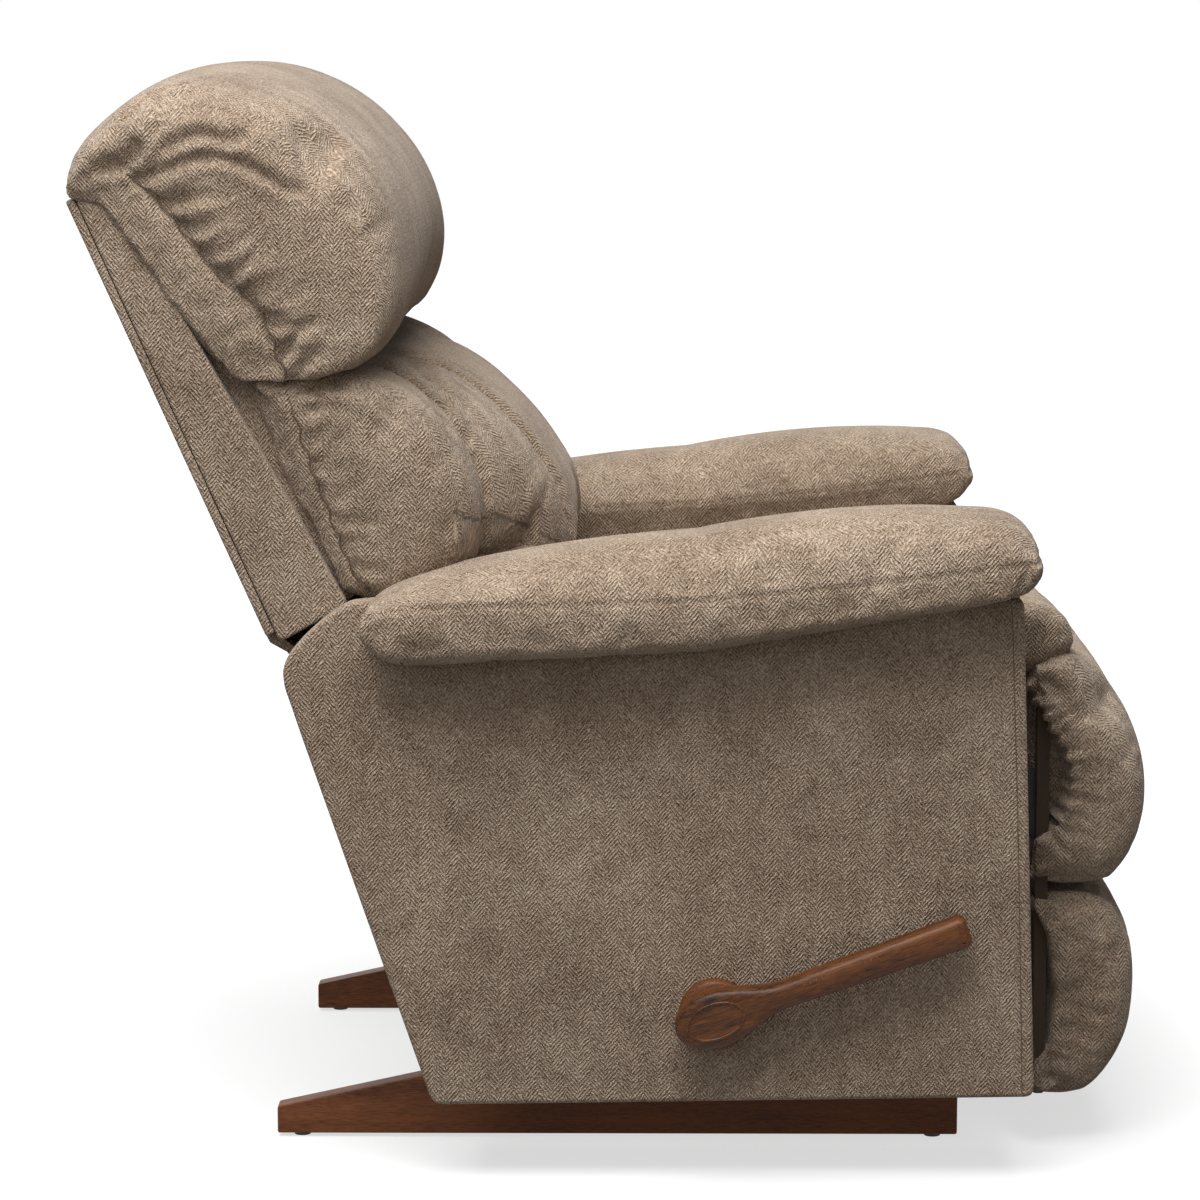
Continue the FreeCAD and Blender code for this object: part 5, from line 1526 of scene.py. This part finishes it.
@dataclass
class Base:
    """The floor rails, as boards with eased edges."""

    outline: Outline = table(
        (-331.5, 3.0), (340.5, 3.0), (340.5, 71.0), (-145.5, 71.0), (-331.5, 30.0))

    def make(self, finishes: Wardrobe) -> None:
        """Builds both rails.

        Args:
            finishes: the finishes.
        """
        for name, side in both_sides():
            rail = Cover("floor_rail_" + name, self.outline, side * 242.5, side * 264.5, edge=1.8, corner=2.5)
            dress(rail.make(), Body.BASE, Slot.WALNUT, finishes.walnut, "rail_" + name)


class Mechanism:
    """The CAD pieces that stay, which take their finish by their slot."""

    def dress_all(self, finishes: Wardrobe) -> None:
        """Puts a finish on each CAD node by the name of the material that it came with.

        Args:
            finishes: the finishes.
        """
        known = {slot.value: finishes.of_slot(slot) for slot in Slot}
        for name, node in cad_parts.items():
            for held in node.material_slots:
                key = next((k for k in known if held.material and k in held.material.name), None)
                if key is None:
                    LOG.warning("%s has a material that is not known: %s", name, held.material)
                    continue
                held.material = known[key]
            LOG.info("CAD node %s dressed", name)


@dataclass(frozen=True)
class Studio:
    """The plain floor, the light and the photograph's camera."""

    lens: float = 117.87
    location: Place = (-4.037, -0.0149, 1.076)
    turn: Place = (81.86, 0.0, -89.5)
    sensor: float = 36.0
    floor_reach: float = 14.0
    floor_drop: float = 0.0005
    floor_glow: float = 0.64
    daylight: float = 0.15

    def camera(self) -> None:
        """Puts the camera at the photograph's place."""
        data = bpy.data.cameras.new("camera")
        data.lens, data.sensor_width = self.lens, self.sensor
        made = new_object("camera", data)
        made.location = self.location
        made.rotation_euler = [math.radians(v) for v in self.turn]
        bpy.context.scene.camera = made

    def floor(self) -> None:
        """A wide pale floor."""
        build = bmesh.new()
        bmesh.ops.create_grid(build, x_segments=1, y_segments=1, size=self.floor_reach)
        piece = from_bmesh("floor", build)
        piece.location.z = -self.floor_drop
        nodes = Nodes("floor")
        rays = nodes.new("LightPath").outputs
        seen = nodes.math("MAXIMUM", nodes.math("MAXIMUM", rays["Is Camera Ray"], rays["Is Glossy Ray"]),
                          rays["Is Transmission Ray"])
        speckle = nodes.noise(nodes.position(), 4.0)
        pale = nodes.ramp(speckle, (0.0, srgb(166, 166, 166)), (1.0, srgb(169, 169, 169)))
        nodes.set(Base_Color=nodes.mix(seen, srgb(104, 101, 98), pale), Roughness=0.9, Specular_IOR_Level=0.0,
                  Emission_Color=(1, 1, 1, 1), Emission_Strength=nodes.math("MULTIPLY", seen, self.floor_glow))
        piece.data.materials.append(nodes.material)

    def lamp(self, data: bpy.types.Light, spot: Place, target: Place) -> None:
        """Hangs a lamp at a spot, turned to a target.

        Args:
            data: the lamp.
            spot: where it hangs, in metres.
            target: the place that it faces.
        """
        made = new_object(data.name, data)
        made.location = spot
        made.rotation_euler = (Vector(target) - Vector(spot)).to_track_quat("-Z", "Y").to_euler()

    def suns(self) -> None:
        """Broad lamps far away, which light the floor evenly."""
        for name, spot, angle, strength in (("overhead", (-0.55, 0.45, 3.0), 50.0, 3.3),
                                            ("beside", (-3.0, 1.0, 1.3), 40.0, 0.45),
                                            ("far side", (3.0, 0.3, 0.7), 50.0, 0.8)):
            data = bpy.data.lights.new(name, "SUN")
            data.angle, data.energy = math.radians(angle), strength
            self.lamp(data, spot, (0.0, 0.0, 0.0))

    def panel(self) -> None:
        """A square lamp over the back's side, which lights the chair's upper half more than its foot."""
        data = bpy.data.lights.new("panel", "AREA")
        data.size, data.energy = 0.8, 11.0
        self.lamp(data, (-1.1, 0.2, 1.8), (-0.3, 0.2, 0.75))

    def world(self) -> None:
        """Soft light from all round, and white behind the floor."""
        world = bpy.data.worlds.new("studio")
        world.use_nodes = True
        tree = world.node_tree
        tree.nodes.clear()
        output, mix, rays = (tree.nodes.new("ShaderNode" + kind) for kind in ("OutputWorld", "MixShader", "LightPath"))
        for socket, strength in ((mix.inputs[1], self.daylight), (mix.inputs[2], 1.0)):
            light = tree.nodes.new("ShaderNodeBackground")
            light.inputs[0].default_value, light.inputs[1].default_value = (1, 1, 1, 1), strength
            tree.links.new(light.outputs[0], socket)
        tree.links.new(rays.outputs["Is Camera Ray"], mix.inputs[0])
        tree.links.new(mix.outputs[0], output.inputs[0])
        bpy.context.scene.world = world

    def set_up(self) -> None:
        """Camera, floor and light."""
        for step in (self.camera, self.floor, self.world, self.suns, self.panel):
            step()
        bpy.context.scene.view_settings.view_transform = "Standard"


def main() -> None:
    """Builds the chair's parts in order, and the studio round them."""
    logging.basicConfig(level=logging.INFO, format="%(name)s: %(message)s")
    Studio().set_up()
    finishes = Wardrobe.filled()
    for part in (Base(), BackRest(), Arms(), Seat(), Legrest(), Handle()):
        part.make(finishes)
        LOG.info("%s made", type(part).__name__)
    Mechanism().dress_all(finishes)


if __name__ == "__main__":
    main()
